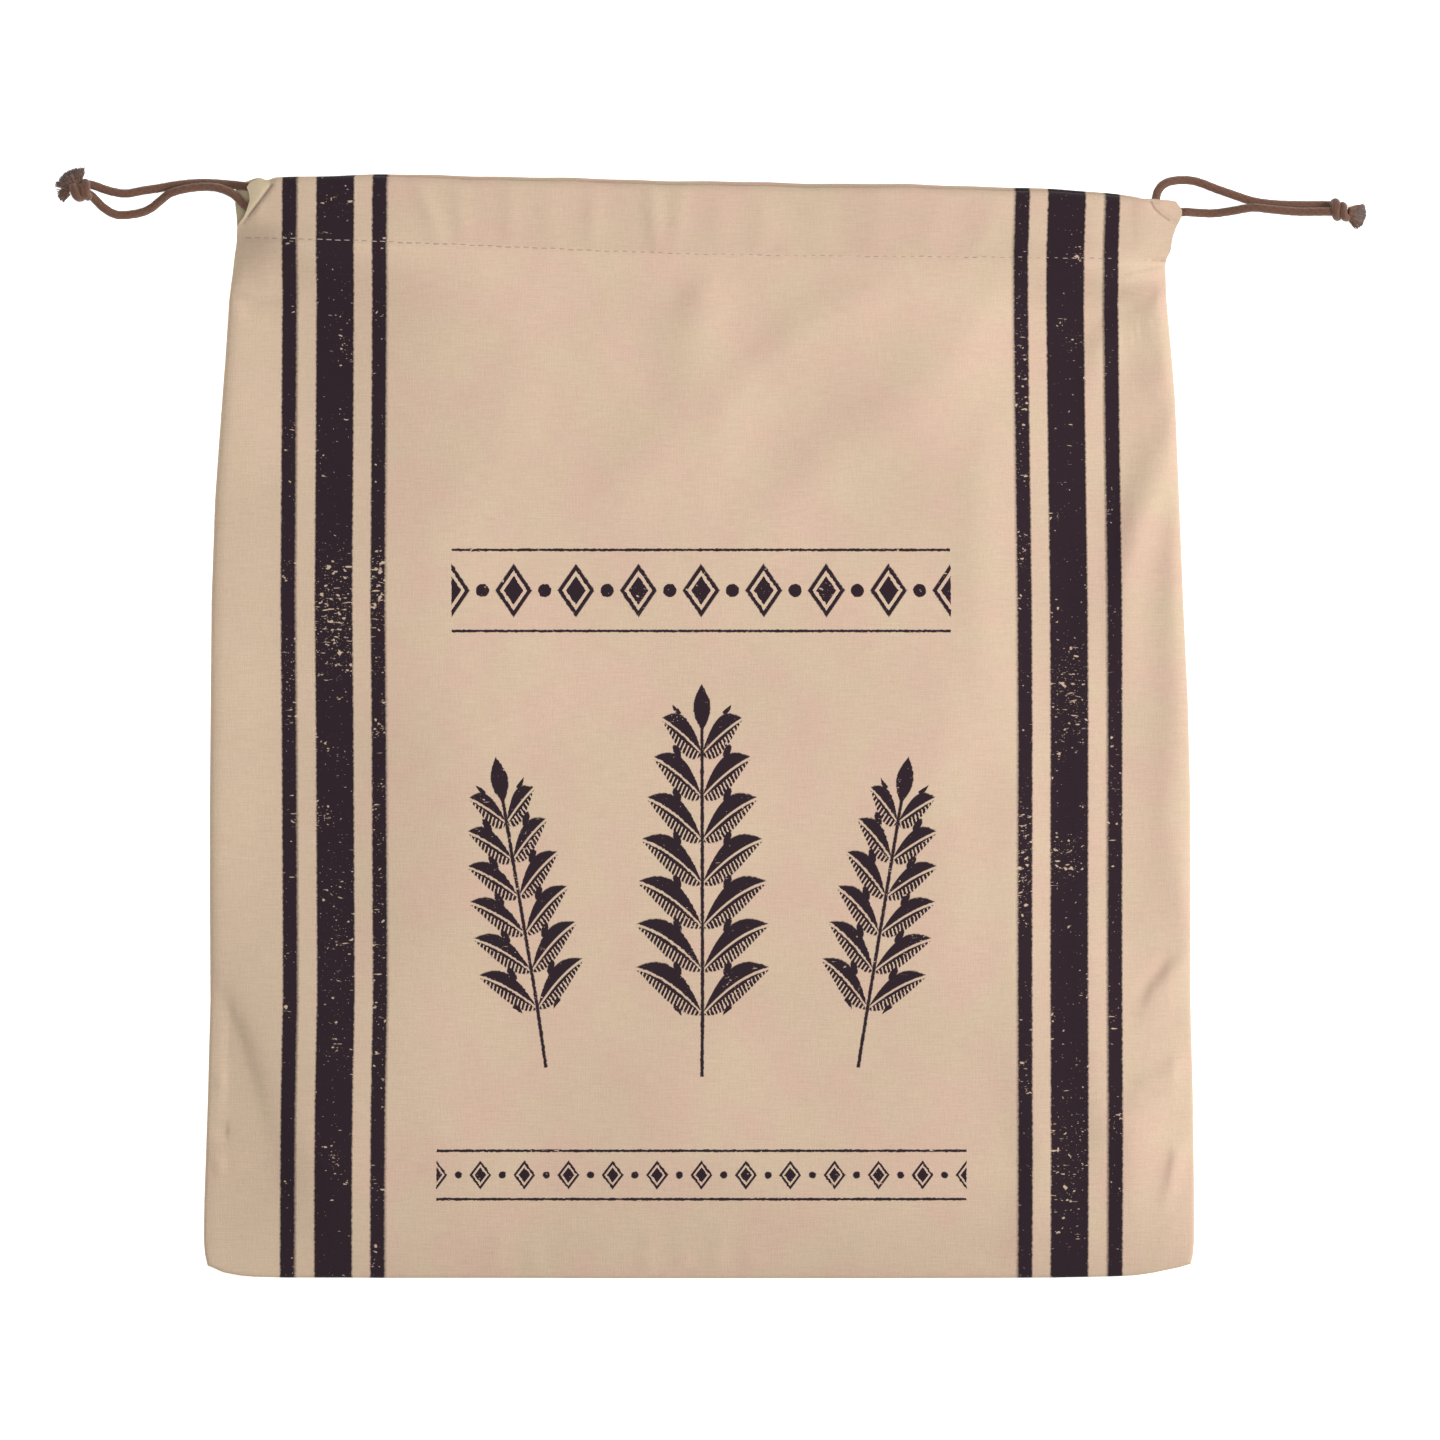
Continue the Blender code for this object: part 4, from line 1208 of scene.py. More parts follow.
def sprig_rows(across, up, height, pitch, reach, width):
    """A leafy branch in print: pairs of curved leaves with a bare vein and hatching, berries and a stem."""
    return (
        ("side", "ABSOLUTE", across),
        ("arch", "POWER", "side", 2.0),
        ("rise", "MULTIPLY", "side", -1.15),
        ("bend", "MULTIPLY_ADD", "arch", 0.020, "rise"),
        ("base", "ADD", up, "bend"),
        ("cell", "DIVIDE", "base", pitch),
        ("leaf", "FLOOR", "cell"),
        ("within", "FRACT", "cell"),
        ("offset", "SUBTRACT", "within", 0.5),
        ("off_side", "ABSOLUTE", "offset"),
        ("from_axis", "MULTIPLY", "off_side", pitch * 0.68),
        ("order", "MULTIPLY", "leaf", pitch / height),
        ("order_two", "POWER", "order", 2.0),
        ("length", "MULTIPLY_ADD", "order_two", -0.55 * reach, reach),
        ("part", "DIVIDE", "side", "length"),
        ("part_in", "MINIMUM", "part", 1.0),
        ("full", "POWER", "part_in", 0.8),
        ("turn", "MULTIPLY", "full", math.pi),
        ("swell", "SINE", "turn"),
        ("half", "MULTIPLY", "swell", width),
        ("inside", "SUBTRACT", "half", "from_axis"),
        ("blade", "MAP", "inside", 0.0, 0.30, 0.0, 1.0),
        ("vein", "MAP", "from_axis", 0.22, 0.42, 0.0, 1.0),
        ("hatch_x", "MULTIPLY_ADD", up, 0.45, "side"),
        ("hatch_y", "DIVIDE", "hatch_x", 1.5),
        ("hatch_z", "FRACT", "hatch_y"),
        ("line", "LESS_THAN", "hatch_z", 0.36),
        ("lower", "LESS_THAN", "offset", 0.0),
        ("outer", "MULTIPLY", "half", 0.30),
        ("off_vein", "GREATER_THAN", "from_axis", "outer"),
        ("bare", "MULTIPLY", "line", "lower"),
        ("bare_two", "MULTIPLY", "bare", "off_vein"),
        ("kept", "SUBTRACT", 1.0, "bare_two"),
        ("veined", "MULTIPLY", "blade", "vein"),
        ("hatched", "MULTIPLY", "veined", "kept"),
        ("above", "GREATER_THAN", "leaf", -0.5),
        ("under", "LESS_THAN", "leaf", height / pitch - 0.5),
        ("range", "MULTIPLY", "above", "under"),
        ("leaves", "MULTIPLY", "hatched", "range"),
        ("berry_x", "SUBTRACT", "side", 0.36 * reach),
        ("berry_y", "SUBTRACT", 0.5, "off_side"),
        ("berry_z", "MULTIPLY", "berry_y", pitch * 0.75),
        ("berry_xx", "POWER", "berry_x", 2.0),
        ("berry_zz", "MULTIPLY_ADD", "berry_z", "berry_z", "berry_xx"),
        ("berry_in", "SUBTRACT", 2.6, "berry_zz"),
        ("berry", "MAP", "berry_in", 0.0, 0.7, 0.0, 1.0),
        ("berries", "MULTIPLY", "berry", "range"),
        ("stem_in", "SUBTRACT", 0.75, "side"),
        ("stem_line", "MAP", "stem_in", 0.0, 0.3, 0.0, 1.0),
        ("stem_low", "GREATER_THAN", up, -14.0),
        ("stem_high", "LESS_THAN", up, height + 2.0),
        ("stem_part", "MULTIPLY", "stem_line", "stem_low"),
        ("stem", "MULTIPLY", "stem_part", "stem_high"),
        ("tip_from", "SUBTRACT", up, height),
        ("tip_part", "DIVIDE", "tip_from", 17.0),
        ("tip_clip", "CLAMP", "tip_part", 0.0, 1.0),
        ("tip_turn", "MULTIPLY", "tip_clip", math.pi),
        ("tip_swell", "SINE", "tip_turn"),
        ("tip_half", "MULTIPLY", "tip_swell", 3.1),
        ("tip_in", "SUBTRACT", "tip_half", "side"),
        ("tip", "MAP", "tip_in", 0.0, 0.3, 0.0, 1.0),
        ("grown", "MAXIMUM", "leaves", "berries"),
        ("stemmed", "MAXIMUM", "grown", "stem"),
        ("sprig", "MAXIMUM", "stemmed", "tip"),
    )


def lozenge_rows(across, up, pitch, half_width, half_height, half_span, rule):
    """A printed band: lozenges with dots between them, and a thin rule above and below."""
    return (
        ("cell", "DIVIDE", across, pitch),
        ("shifted", "ADD", "cell", 0.5),
        ("within", "FRACT", "shifted"),
        ("offset", "SUBTRACT", "within", 0.5),
        ("off_mm", "MULTIPLY", "offset", pitch),
        ("side", "ABSOLUTE", "off_mm"),
        ("high", "ABSOLUTE", up),
        ("side_part", "DIVIDE", "side", half_width),
        ("high_part", "DIVIDE", "high", half_height),
        ("sum", "ADD", "side_part", "high_part"),
        ("inside", "SUBTRACT", 1.0, "sum"),
        ("solid", "MAP", "inside", 0.0, 0.06, 0.0, 1.0),
        ("ring_low", "GREATER_THAN", "sum", 0.52),
        ("ring_high", "LESS_THAN", "sum", 0.72),
        ("ring", "MULTIPLY", "ring_low", "ring_high"),
        ("ring_kept", "SUBTRACT", 1.0, "ring"),
        ("lozenge", "MULTIPLY", "solid", "ring_kept"),
        ("dot_x", "SUBTRACT", "side", pitch / 2),
        ("dot_xx", "POWER", "dot_x", 2.0),
        ("dot_zz", "MULTIPLY_ADD", "high", "high", "dot_xx"),
        ("dot_in", "SUBTRACT", (half_width * 0.36) ** 2, "dot_zz"),
        ("dot", "MAP", "dot_in", 0.0, 0.8, 0.0, 1.0),
        ("motif", "MAXIMUM", "lozenge", "dot"),
        ("rule_off", "SUBTRACT", "high", rule),
        ("rule_side", "ABSOLUTE", "rule_off"),
        ("rule_in", "SUBTRACT", 0.55, "rule_side"),
        ("rule", "MAP", "rule_in", 0.0, 0.2, 0.0, 1.0),
        ("both", "MAXIMUM", "motif", "rule"),
        ("from_middle", "ABSOLUTE", across),
        ("span", "LESS_THAN", "from_middle", half_span),
        ("band", "MULTIPLY", "both", "span"),
    )


def woven_cotton(name, settings):
    """Unbleached cotton in plain weave, about 24 threads to the cm, washed once and screen printed.

    To the eye: matt and even, with slubs along both thread directions, slow pink and yellow mottling
    and a dark print that has worn off in small flecks. Shade is painted into the colour along the
    crease lines and over the four-layer casing. The threads are finer than the render shows,
    so the weave is drawn at about twice its real spacing.
    """
    surface = {"Roughness": 0.92, "Sheen Weight": 0.03, "Sheen Roughness": 0.6, "Specular IOR Level": 0.12}
    material, tree, shader = new_material(name, surface)
    place = add_node(tree, "ShaderNodeAttribute", attribute_name="cloth_place").outputs["Vector"]
    parts = add_node(tree, "ShaderNodeSeparateXYZ", [place])
    known = {"place": place, "x": parts.outputs[0], "y": parts.outputs[1], "right_side": parts.outputs[2]}
    cloth = linear_colour(settings.cloth_colour)
    pink = linear_colour(settings.cloth_pink)
    wrong = linear_colour(settings.cloth_wrong)
    ink = linear_colour(settings.ink_colour)[:3]
    weave_turn = 2.0 * math.pi / WEAVE_SPACING
    rows = (
        ("warp_at", "VECTOR_MULTIPLY", "place", (2.3, 0.16, 0.0)),
        ("weft_at", "VECTOR_MULTIPLY", "place", (0.13, 2.4, 0.0)),
        ("weave_x", "MULTIPLY", "x", weave_turn),
        ("weave_y", "MULTIPLY", "y", weave_turn),
        ("weave_sx", "SINE", "weave_x"),
        ("weave_sy", "SINE", "weave_y"),
        ("weave", "MULTIPLY", "weave_sx", "weave_sy"),
        ("mottle", "NOISE", {"Vector": "place", "Scale": 0.016, "Detail": 3.0, "Distortion": 0.4}),
        ("mottle_two", "NOISE", {"Vector": "place", "Scale": 0.043, "Detail": 2.0, "Distortion": 0.2}),
        ("grain", "NOISE", {"Vector": "place", "Scale": 1.4, "Detail": 2.0, "Distortion": 0.0}),
        ("warp", "NOISE", {"Vector": "warp_at", "Scale": 1.0, "Detail": 2.0, "Distortion": 0.15}),
        ("weft", "NOISE", {"Vector": "weft_at", "Scale": 1.0, "Detail": 2.0, "Distortion": 0.15}),
    )
    run_steps(tree, known, rows)
    crease_shade(tree, known)
    # The strip left of the left stripes is less pink than the rest
    rows = (
        ("pink_noise", "MAP", "mottle_two", 0.38, 0.62, 0.0, 1.0),
        ("inside", "MAP", "x", -140.0, -100.0, 0.35, 1.0),
        ("pinkness", "MULTIPLY", "pink_noise", "inside"),
        ("tone", "MIX", {"Factor": "pinkness", "A": cloth, "B": pink}),
        ("slub_a", "MAP", "warp", 0.30, 0.72, 0.975, 1.025),
        ("slub_b", "MAP", "weft", 0.30, 0.76, 0.955, 1.055),
        ("fine", "MAP", "grain", 0.3, 0.7, 0.97, 1.03),
        ("slow", "MAP", "mottle", 0.3, 0.7, 0.965, 1.035),
        ("thread", "MULTIPLY_ADD", "weave", 0.012, 1.0),
        # Painted shade: the casing is darker because less light comes up through its four layers
        ("double", "MAP", "right_side", 1.0, 2.0, 1.0, 0.955),
        ("slub_d", "MULTIPLY", "slub_a", "double"),
        # Painted shade along the crease lines is multiplied in here, together with the slubs
        ("slub_c", "MULTIPLY", "slub_d", "crease"),
        ("slubs", "MULTIPLY", "slub_c", "slub_b"),
        ("slubs_two", "MULTIPLY", "slubs", "fine"),
        ("slubs_three", "MULTIPLY", "slubs_two", "slow"),
        ("shade", "MULTIPLY", "slubs_three", "thread"),
        ("coloured", "SCALE", "tone", None, None, "shade"),
        ("unprinted", "MIX", {"Factor": "right_side", "A": wrong, "B": "coloured"}),
    )
    run_steps(tree, known, rows)
    print_mask(tree, known)
    rows = (
        # The ink takes the same painted shade of the creases and the casing as the cloth
        ("dark", "SCALE", ink, None, None, "slubs_two"),
        ("inked", "MIX", {"Factor": "ink", "A": "unprinted", "B": "dark"}),
        ("threads", "ADD", "warp", "weft"),
        ("relief_a", "MULTIPLY_ADD", "weave", 0.12, "threads"),
        ("relief", "MULTIPLY_ADD", "grain", 0.5, "relief_a"),
        ("bump", "BUMP", {"Strength": 0.35, "Distance": 0.0002, "Height": "relief"}),
    )
    run_steps(tree, known, rows)
    tree.links.new(known["inked"], shader.inputs["Base Color"])
    tree.links.new(known["bump"], shader.inputs["Normal"])
    return material


def crease_shade(tree, known):
    """Less light along the table's crease lines, each measured on the cloth itself."""
    known["spot"] = add_node(tree, "ShaderNodeTexCoord").outputs["Object"]
    rows = (
        ("flat_spot", "VECTOR_MULTIPLY", "spot", (1.0 / MM, 1.0 / MM, 0.0)),
        ("crease", "MULTIPLY", 1.0, 1.0),
    )
    run_steps(tree, known, rows)
    for x0, y0, x1, y1, half_width, share in CREASE_LINES:
        dx = x1 - x0
        dy = y1 - y0
        square = dx * dx + dy * dy
        rows = (
            ("from", "VECTOR_SUBTRACT", "flat_spot", (x0, y0, 0.0)),
            ("along", "DOT_PRODUCT", "from", (dx / square, dy / square, 0.0)),
            ("part", "MAP", "along", 0.0, 1.0, 0.0, 1.0),
            ("near", "SCALE", (dx, dy, 0.0), None, None, "part"),
            ("off", "VECTOR_SUBTRACT", "from", "near"),
            ("square", "DOT_PRODUCT", "off", "off"),
            ("light", "MAP", "square", 0.0, half_width**2, share, 1.0),
            ("crease", "MINIMUM", "crease", "light"),
        )
        run_steps(tree, known, rows)


def worn_areas(tree, known):
    """How much the print has worn: the table's areas, and a slow noise everywhere."""
    run_steps(tree, known, [("worn", "MAP", "worn_noise", 0.50, 0.74, 0.0, 0.85)])
    for x, y, half_width, half_height, strength in WORN_AREAS:
        rows = (
            ("from", "VECTOR_SUBTRACT", "place", (x, y, 0.0)),
            ("part", "VECTOR_MULTIPLY", "from", (1.0 / half_width, 1.0 / half_height, 0.0)),
            ("square", "DOT_PRODUCT", "part", "part"),
            ("in", "MAP", "square", 0.1, 1.0, strength, 0.0),
            ("worn", "MAXIMUM", "worn", "in"),
        )
        run_steps(tree, known, rows)


def stripe_ramp(tree, across):
    """The stripes as a ramp over the distance from the middle of the print."""
    ramp = add_node(tree, "ShaderNodeValToRGB", [across])
    elements = ramp.color_ramp.elements
    elements[1].color = (0.0, 0.0, 0.0, 1.0)
    for inner, outer in STRIPES:
        for at, value in (
            (inner - STRIPE_SOFT, 0.0),
            (inner + STRIPE_SOFT, 1.0),
            (outer - STRIPE_SOFT, 1.0),
            (outer + STRIPE_SOFT, 0.0),
        ):
            elements.new(at / PRINT_REACH).color = (value, value, value, 1.0)
    return ramp.outputs["Color"]


def print_mask(tree, known):
    """Where ink lies on the cloth: stripes and motifs, less the flecks that have worn off."""
    rows = (
        ("edge_noise", "NOISE", {"Vector": "place", "Scale": 0.9, "Detail": 2.0}),
        ("edge", "SUBTRACT", "edge_noise", 0.5),
        ("print_x", "MULTIPLY_ADD", "edge", 0.75, "x"),
        ("print_y", "MULTIPLY_ADD", "edge", 0.75, "y"),
        ("from_middle", "ABSOLUTE", "print_x"),
        ("stripe_at", "DIVIDE", "from_middle", PRINT_REACH),
    )
    known["printed"] = stripe_ramp(tree, run_steps(tree, known, rows))
    # The side sprigs lean: their own axes are turned a little
    rows = (
        ("tall_up", "ADD", "print_y", 107.0),
        ("near_side", "SUBTRACT", "from_middle", 56.0),
        ("side_y", "ADD", "print_y", 104.0),
        ("lean_a", "MULTIPLY", "side_y", -0.16),
        ("lean_x", "MULTIPLY_ADD", "near_side", 0.987, "lean_a"),
        ("lean_b", "MULTIPLY", "side_y", 0.987),
        ("lean_y", "MULTIPLY_ADD", "near_side", 0.16, "lean_b"),
        ("top_y", "SUBTRACT", "print_y", 47.0),
        ("low_y", "ADD", "print_y", 155.0),
    )
    run_steps(tree, known, rows)
    for motif in (
        sprig_rows("print_x", "tall_up", 105.0, 15.0, 24.0, 4.6),
        sprig_rows("lean_x", "lean_y", 78.0, 13.0, 19.0, 3.9),
        lozenge_rows("print_x", "top_y", 21.5, 6.6, 9.6, 86.0, 14.0),
        lozenge_rows("print_x", "low_y", 15.2, 3.9, 5.2, 91.2, 8.4),
    ):
        known["motif"] = run_steps(tree, known, motif)
        run_steps(tree, known, [("printed", "MAXIMUM", "printed", "motif")])
    rows = (
        ("fleck_at", "VECTOR_MULTIPLY", "place", (0.85, 1.15, 0.0)),
        ("stroke_at", "VECTOR_MULTIPLY", "place", (0.42, 1.7, 0.0)),
        ("fleck", "NOISE", {"Vector": "fleck_at", "Scale": 0.56, "Detail": 1.2, "Distortion": 0.35}),
        ("stroke", "NOISE", {"Vector": "stroke_at", "Scale": 0.56, "Detail": 1.2, "Distortion": 0.4}),
        ("dust", "NOISE", {"Vector": "fleck_at", "Scale": 1.50, "Detail": 0.5, "Distortion": 0.2}),
        ("worn_noise", "NOISE", {"Vector": "place", "Scale": 0.085, "Detail": 2.0, "Distortion": 0.3}),
    )
    run_steps(tree, known, rows)
    worn_areas(tree, known)
    run_steps(tree, known, [("ink", "MAP", "right_side", 0.4, 0.9, 0.0, 1.0)])
    # Each kind of mark: its noise, how much wear lowers its limit, the limit, the step's two ends, ink left
    for noise, wear, limit, low, high, left in (
        ("fleck", -0.150, 0.755, -0.045, 0.015, 0.12),
        ("stroke", -0.14, 0.775, -0.045, 0.015, 0.12),
        ("dust", -0.12, 0.80, -0.03, 0.03, 0.35),
    ):
        rows = (
            ("limit", "MULTIPLY_ADD", "worn", wear, limit),
            ("over", "SUBTRACT", "limit", noise),
            ("kept", "MAP", "over", low, high, left, 1.0),
            ("ink", "MULTIPLY", "ink", "kept"),
        )
        run_steps(tree, known, rows)
    run_steps(tree, known, [("ink", "MULTIPLY", "ink", "printed")])


def braided_cord(name, settings):
    """Cotton cord braided from eight strands, 3 mm thick and dyed brown.

    To the eye: matt and slightly fuzzy, with painted shade in darker lines where the strands cross.
    """
    surface = {"Roughness": 0.8, "Sheen Weight": 0.25, "Specular IOR Level": 0.3}
    material, tree, shader = new_material(name, surface)
    # The dark colour gives painted shade between the strands, and darker random patches
    dark = linear_colour(settings.cord_tone_and_gap_shade)
    brown = linear_colour(settings.cord_colour)
    place = add_node(tree, "ShaderNodeAttribute", attribute_name="cord_place").outputs["Vector"]
    parts = add_node(tree, "ShaderNodeSeparateXYZ", [place])
    spot = add_node(tree, "ShaderNodeNewGeometry").outputs["Position"]
    known = {"along": parts.outputs[0], "round": parts.outputs[1], "spot": spot}
    rows = (
        ("fuzz", "NOISE", {"Vector": "spot", "Scale": 900.0, "Detail": 2.0}),
        ("patch", "NOISE", {"Vector": "spot", "Scale": 120.0, "Detail": 2.0}),
        ("turn", "MULTIPLY", "round", 5.0),
        ("right", "MULTIPLY_ADD", "along", 2.0 * math.pi / BRAID_PITCH, "turn"),
        ("left", "MULTIPLY_ADD", "along", -2.0 * math.pi / BRAID_PITCH, "turn"),
        ("right_wave", "COSINE", "right"),
        ("left_wave", "COSINE", "left"),
        ("ridge", "MAXIMUM", "right_wave", "left_wave"),
        # Painted shade: the colour goes towards the dark colour between the strands
        ("ridge_part", "MAP", "ridge", -0.6, 0.9, 0.80, 1.0),
        ("fuzzy", "MAP", "fuzz", 0.3, 0.7, 0.85, 1.12),
        ("patchy", "MAP", "patch", 0.3, 0.7, 0.86, 1.14),
        ("tone_a", "MULTIPLY", "ridge_part", "fuzzy"),
        ("tone", "MULTIPLY", "tone_a", "patchy"),
        ("colour", "MIX", {"Factor": "tone", "A": dark, "B": brown}),
        ("height", "MULTIPLY_ADD", "fuzz", 0.5, "ridge"),
        ("bump", "BUMP", {"Strength": 0.5, "Distance": 0.00012, "Height": "height"}),
    )
    run_steps(tree, known, rows)
    tree.links.new(known["colour"], shader.inputs["Base Color"])
    tree.links.new(known["bump"], shader.inputs["Normal"])
    return material


def plain_fibre(name, root_text, tip_text, low, high, roughness):
    """Spun cotton fibre, such as sewing thread or a cord's loose ends: matt, a little uneven in tone."""
    material, tree, shader = new_material(name, {"Roughness": roughness, "Sheen Weight": 0.2})
    spot = add_node(tree, "ShaderNodeNewGeometry").outputs["Position"]
    place = add_node(tree, "ShaderNodeAttribute", attribute_name="cord_place").outputs["Vector"]
    known = {"spot": spot, "along": add_node(tree, "ShaderNodeSeparateXYZ", [place]).outputs[0]}
    # A frayed end is as brown as its cord at the root and greyer towards the tips
    rows = (
        ("noise", "NOISE", {"Vector": "spot", "Scale": 700.0, "Detail": 2.0}),
        ("tip", "MAP", "along", 1.5, 5.5, 0.0, 1.0),
        ("mixed", "MIX", {"Factor": "tip", "A": linear_colour(root_text), "B": linear_colour(tip_text)}),
        ("tone", "MAP", "noise", 0.3, 0.7, low, high),
        ("colour", "SCALE", "mixed", None, None, "tone"),
    )
    tree.links.new(run_steps(tree, known, rows), shader.inputs["Base Color"])
    return material


def stage_paper(name, settings):
    """Matt white sheet of a light table under the bag: even and pale, with a little light of its own."""
    surface = {
        "Base Color": linear_colour(settings.floor_colour),
        "Roughness": 0.95,
        "Specular IOR Level": 0.1,
        "Emission Color": (1.0, 1.0, 0.985, 1.0),
        "Emission Strength": 0.62,
    }
    return new_material(name, surface)[0]


def shared_material(title):
    """The material of that name, made once from the scene's settings."""
    found = bpy.data.materials.get(title)
    if found:
        return found
    settings = bpy.context.scene.bread_bag
    if title == "printed cotton":
        return woven_cotton(title, settings)
    if title == "brown cotton braid":
        return braided_cord(title, settings)
    if title == "frayed cotton fibre":
        return plain_fibre(title, settings.cord_colour, settings.fray_colour, 0.6, 1.5, 0.85)
    if title == "cotton sewing thread":
        return plain_fibre(title, settings.thread_colour, settings.thread_colour, 0.9, 1.08, 0.8)
    raise ValueError(f"no material is named {title}")


class BREADBAG_OT_panels(bpy.types.Operator):
    """Makes the two cloth panels, each with its folded-over casing."""

    bl_idname = "bread_bag.panels"
    bl_label = "Cloth panels"

    def execute(self, context):
        settings = context.scene.bread_bag
        step = settings.cloth_step / MM
        cotton = shared_material("printed cotton")
        front = Panel(True, step).build("front_cloth", cotton)
        back = Panel(False, step * 1.7).build("back_cloth", cotton)
        for item, node in ((front, "front_panel"), (back, "back_panel")):
            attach(item, "root")
            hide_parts(node)
        return {"FINISHED"}


def stitch_row(name, height_at, outward, material, pitch, width):
    """Running stitches along the casing, each a short raised length of thread that dips in at both ends."""
    parts = []
    for index in range(math.ceil((STITCHES_RIGHT - STITCHES_LEFT) / pitch)):
        start_x = STITCHES_LEFT + index * pitch
        wobble = 0.10 * math.sin(index * 1.7) + 0.07 * math.sin(index * 0.61)
        run = []
        for part in np.linspace(0.0, 1.0, 7):
            x = start_x + part * pitch * STITCH_SHARE
            y = float(read_table(LONG_EDGES, x, 2)) + STITCH_ABOVE_LINE + wobble
            arch = 0.50 * math.sin(math.pi * part) ** 0.5 - 0.35
            lift = width * arch if 0 < part < 1 else -0.7 * width
            run.append((x, y, height_at(x, y) + outward * lift))
        parts.append(tube_mesh(np.array(run), width / 2, 6, even_relief))
    points, faces, _ = join_parts(parts)
    return make_mesh(name, points, faces, material)


class BREADBAG_OT_stitches(bpy.types.Operator):
    """Makes the rows of stitches that hold the casings."""

    bl_idname = "bread_bag.stitches"
    bl_label = "Casing stitches"

    def execute(self, context):
        settings = context.scene.bread_bag
        thread = shared_material("cotton sewing thread")
        pitch = settings.stitch_pitch / MM
        width = settings.thread_width / MM
        for name, height_at, outward in (
            ("casing_stitches_front", lambda x, y: float(front_top(np.array([x]), np.array([y]))[0]), 1.0),
            ("casing_stitches_back", lambda x, y: BACK_STITCH_HEIGHT, -1.0),
        ):
            item = stitch_row(name, height_at, outward, thread, pitch, width)
            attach(item, "root")
        return {"FINISHED"}


class BREADBAG_OT_cords(bpy.types.Operator):
    """Makes the drawstrings, their knots and the frayed ends."""

    bl_idname = "bread_bag.cords"
    bl_label = "Drawstrings"

    def execute(self, context):
        settings = context.scene.bread_bag
        braid = shared_material("brown cotton braid")
        fibre = shared_material("frayed cotton fibre")
        radius = settings.cord_diameter / MM / 2
        for side, first, second, in_front, upper, turn_x, reach in DRAWSTRINGS:
            knot = make_knot(side, braid)
            frays = make_frayed_ends(side, settings.fray_fibres, fibre)
            for item in (knot, frays):
                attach(item, "root")
                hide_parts("knot_" + side)
            entries = [row[2:] for row in KNOT_ENTRIES if row[0] == side]
            halves = cord_halves(
                (*first, entries[0]), (*second, entries[1]), in_front, upper, turn_x, reach
            )
            for title, path in zip(("upper", "lower"), halves):
                points, faces, places = tube_mesh(path, radius, 18, braid_relief)
                item = make_mesh(f"drawstring_{side}_{title}", points, faces, braid)
                add_place(item, "cord_place", places)
                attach(item, "root")
                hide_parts("drawstring_" + side)
        return {"FINISHED"}


def make_knot(side, material):
    """A tight knot: rings of cord pulled close round the two strands."""
    parts = []
    for row_side, x, y, z, ring, cord, turn, tilt in KNOT_WRAPS:
        if row_side != side:
            continue
        angle = np.linspace(0.0, 2.0 * math.pi, 48, endpoint=False)
        across = ring * (1.0 + 0.05 * np.sin(2.0 * angle + x)) * np.cos(angle)
        up = ring * 0.92 * np.sin(angle)
        circle = np.stack([0.35 * np.sin(angle * 2.0 + 0.5), across, up], axis=1)
        circle = circle @ rotation(turn, tilt).T + np.array([x, y, z])
        parts.append(ring_mesh(circle, cord, 16))
    points, faces, places = join_parts(parts)
    points[:, 2] = np.maximum(points[:, 2], 0.12)
    item = make_mesh("knot_wraps_" + side, points, faces, material)
    add_place(item, "cord_place", places)
    return item


def rotation(turn, tilt):
    a, b = math.radians(turn), math.radians(tilt)
    about_z = np.array([[math.cos(a), -math.sin(a), 0], [math.sin(a), math.cos(a), 0], [0, 0, 1]])
    about_y = np.array([[math.cos(b), 0, math.sin(b)], [0, 1, 0], [-math.sin(b), 0, math.cos(b)]])
    return about_z @ about_y


def ring_mesh(circle, radius, sides):
    """A closed ring of cord along a closed line of points."""
    along = np.roll(circle, -1, axis=0) - np.roll(circle, 1, axis=0)
    along /= np.linalg.norm(along, axis=1)[:, None]
    out = circle - circle.mean(axis=0)
    out -= along * np.sum(out * along, axis=1)[:, None]
    out /= np.linalg.norm(out, axis=1)[:, None]
    across = np.cross(along, out)
    lengths = running_length(circle)
    angle = np.linspace(0.0, 2.0 * math.pi, sides, endpoint=False)
    size = radius * braid_relief(lengths[:, None], angle[None, :])
    points, place = tube_skin(circle, out, across, size, lengths, angle)
    number = np.arange(points.shape[0] * sides).reshape(-1, sides)
    beyond = np.roll(number, -1, axis=1)
    after = np.roll(number, -1, axis=0)
    after_beyond = np.roll(beyond, -1, axis=0)
    return points.reshape(-1, 3), quads(number, after, after_beyond, beyond), place.reshape(-1, 3)


def make_frayed_ends(side, fibres, material):
    """Loose fibres that fan out of the knot and curl a little."""
    random = np.random.default_rng(11 if side == "left" else 12)
    parts = []
    for row_side, x, y, z, heading, length, spread, start_width, share in FRAYED_ENDS:
        if row_side != side:
            continue
        base = math.radians(heading)
        sideways = np.array([-math.sin(base), math.cos(base), 0.0])
        for _ in range(int(fibres * share)):
            turn = float(np.clip(random.normal(0.0, 0.55), -1.0, 1.0))
            rise = random.uniform(-1.0, 1.0)
            way = math.radians(heading + spread * turn + random.normal(0.0, 4.0))
            forward = np.array([math.cos(way), math.sin(way), 0.0])
            reach = length * random.uniform(0.72, 1.05) * (1.0 - 0.10 * abs(turn))
            curl = random.normal(0.0, 0.35)
            run = []
            for part in np.linspace(0.0, 1.0, 6):
                wave = curl * math.sin(part * 3.0 + turn) * part
                up = rise * (1.1 + 0.4 * part) - (z - 2.2) * part**1.6
                point = np.array([x, y, z]) + forward * reach * part
                point = point + sideways * (start_width * turn + wave)
                point[2] = max(0.2, z + up)
                run.append(point)
            parts.append(tube_mesh(np.array(run), np.linspace(*FIBRE_RADII, 6), 3, even_relief))
    points, faces, places = join_parts(parts)
    item = make_mesh("frayed_ends_" + side, points, faces, material)
    add_place(item, "cord_place", places)
    return item


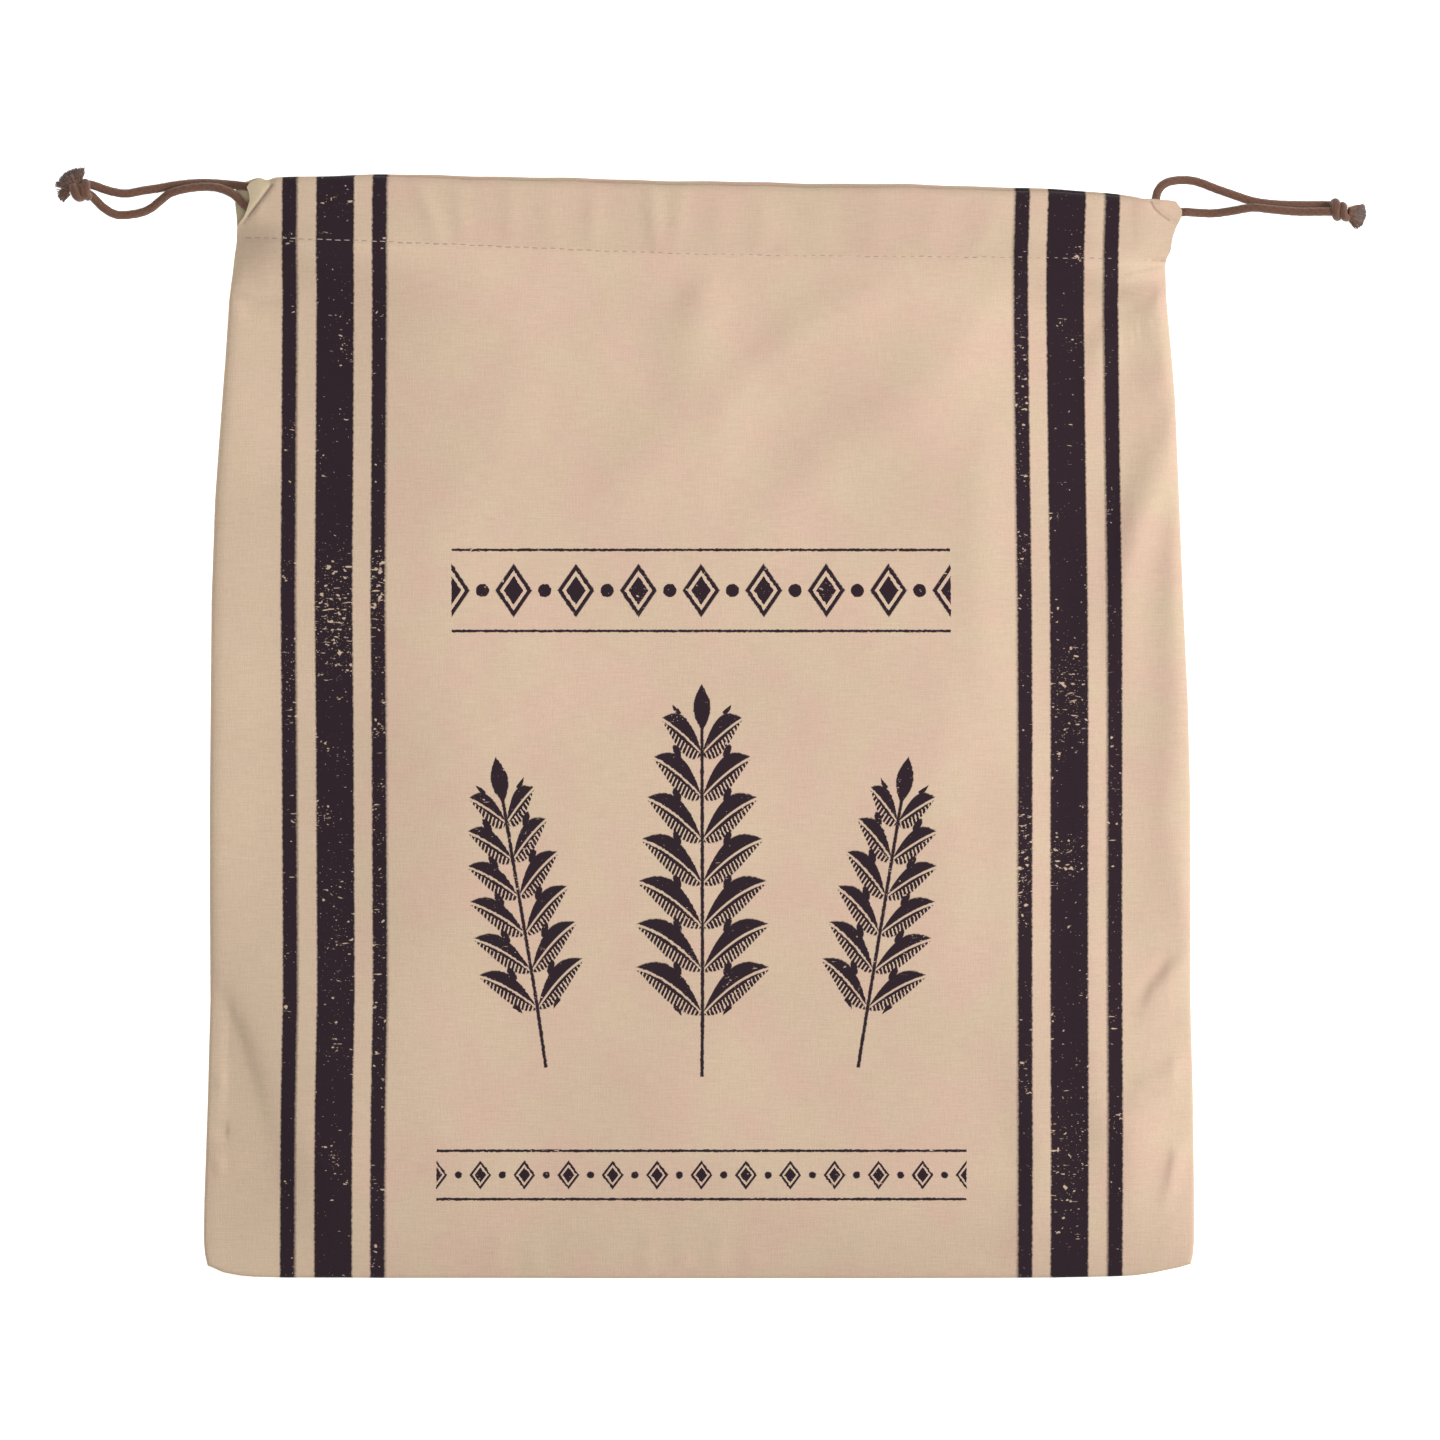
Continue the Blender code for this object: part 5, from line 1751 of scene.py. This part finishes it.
class BREADBAG_OT_stage(bpy.types.Operator):
    """Makes the pale surface, the soft lights and the camera straight above."""

    bl_idname = "bread_bag.stage"
    bl_label = "Stage"

    def execute(self, context):
        settings = context.scene.bread_bag
        paper = stage_paper("matt white card", settings)
        size = 6000.0
        corners = np.array([(x * size, y * size, -0.3) for x, y in ((-1, -1), (1, -1), (1, 1), (-1, 1))])
        floor = make_mesh("pale_surface", corners, [(0, 1, 2, 3)], paper)
        middle_x = (PHOTO_PIXELS / 2 - PHOTO_ORIGIN[0]) * PHOTO_PIXEL_MM * MM
        middle_y = (PHOTO_ORIGIN[1] - PHOTO_PIXELS / 2) * PHOTO_PIXEL_MM * MM
        camera_data = bpy.data.cameras.new("camera")
        camera_data.sensor_width = 36.0
        camera_data.lens = 36.0 * settings.camera_height / (PHOTO_PIXELS * PHOTO_PIXEL_MM * MM)
        camera_data.clip_end = 50.0
        camera = bpy.data.objects.new("camera", camera_data)
        camera.location = (middle_x, middle_y, settings.camera_height)
        context.scene.collection.objects.link(camera)
        context.scene.camera = camera
        for title, place, aim, width, power in LIGHTS:
            light_data = bpy.data.lights.new(title, "AREA")
            light_data.shape = "SQUARE"
            light_data.size = width
            light_data.energy = power
            light = bpy.data.objects.new(title, light_data)
            light.location = place
            direction = Vector(aim) - light.location
            light.rotation_euler = direction.to_track_quat("-Z", "Y").to_euler()
            light.visible_camera = False
            context.scene.collection.objects.link(light)
        world = bpy.data.worlds.new("soft white room")
        world.use_nodes = True
        sky = world.node_tree.nodes["Background"]
        sky.inputs["Color"].default_value = (1.0, 0.995, 0.985, 1.0)
        sky.inputs["Strength"].default_value = 0.34
        context.scene.world = world
        context.scene.view_settings.view_transform = "Standard"
        return {"FINISHED"}


class BREADBAG_PT_sidebar(bpy.types.Panel):
    """Lists the bag's settings and its pieces."""

    bl_idname = "BREADBAG_PT_sidebar"
    bl_label = "Bread bag"
    bl_space_type = "VIEW_3D"
    bl_region_type = "UI"
    bl_category = "Bread bag"

    def draw(self, context):
        settings = context.scene.bread_bag
        for name in BreadBagSettings.__annotations__:
            self.layout.prop(settings, name)
        for operator in OPERATORS:
            self.layout.operator(operator.bl_idname)


OPERATORS = (BREADBAG_OT_panels, BREADBAG_OT_stitches, BREADBAG_OT_cords, BREADBAG_OT_stage)


def register():
    bpy.utils.register_class(BreadBagSettings)
    for operator in OPERATORS:
        bpy.utils.register_class(operator)
    bpy.utils.register_class(BREADBAG_PT_sidebar)
    bpy.types.Scene.bread_bag = PointerProperty(type=BreadBagSettings)


def unregister():
    del bpy.types.Scene.bread_bag
    bpy.utils.unregister_class(BREADBAG_PT_sidebar)
    for operator in reversed(OPERATORS):
        bpy.utils.unregister_class(operator)
    bpy.utils.unregister_class(BreadBagSettings)


def main():
    register()
    bpy.ops.bread_bag.stage()
    bpy.ops.bread_bag.cords()
    bpy.ops.bread_bag.panels()
    bpy.ops.bread_bag.stitches()


if __name__ == "__main__":
    main()
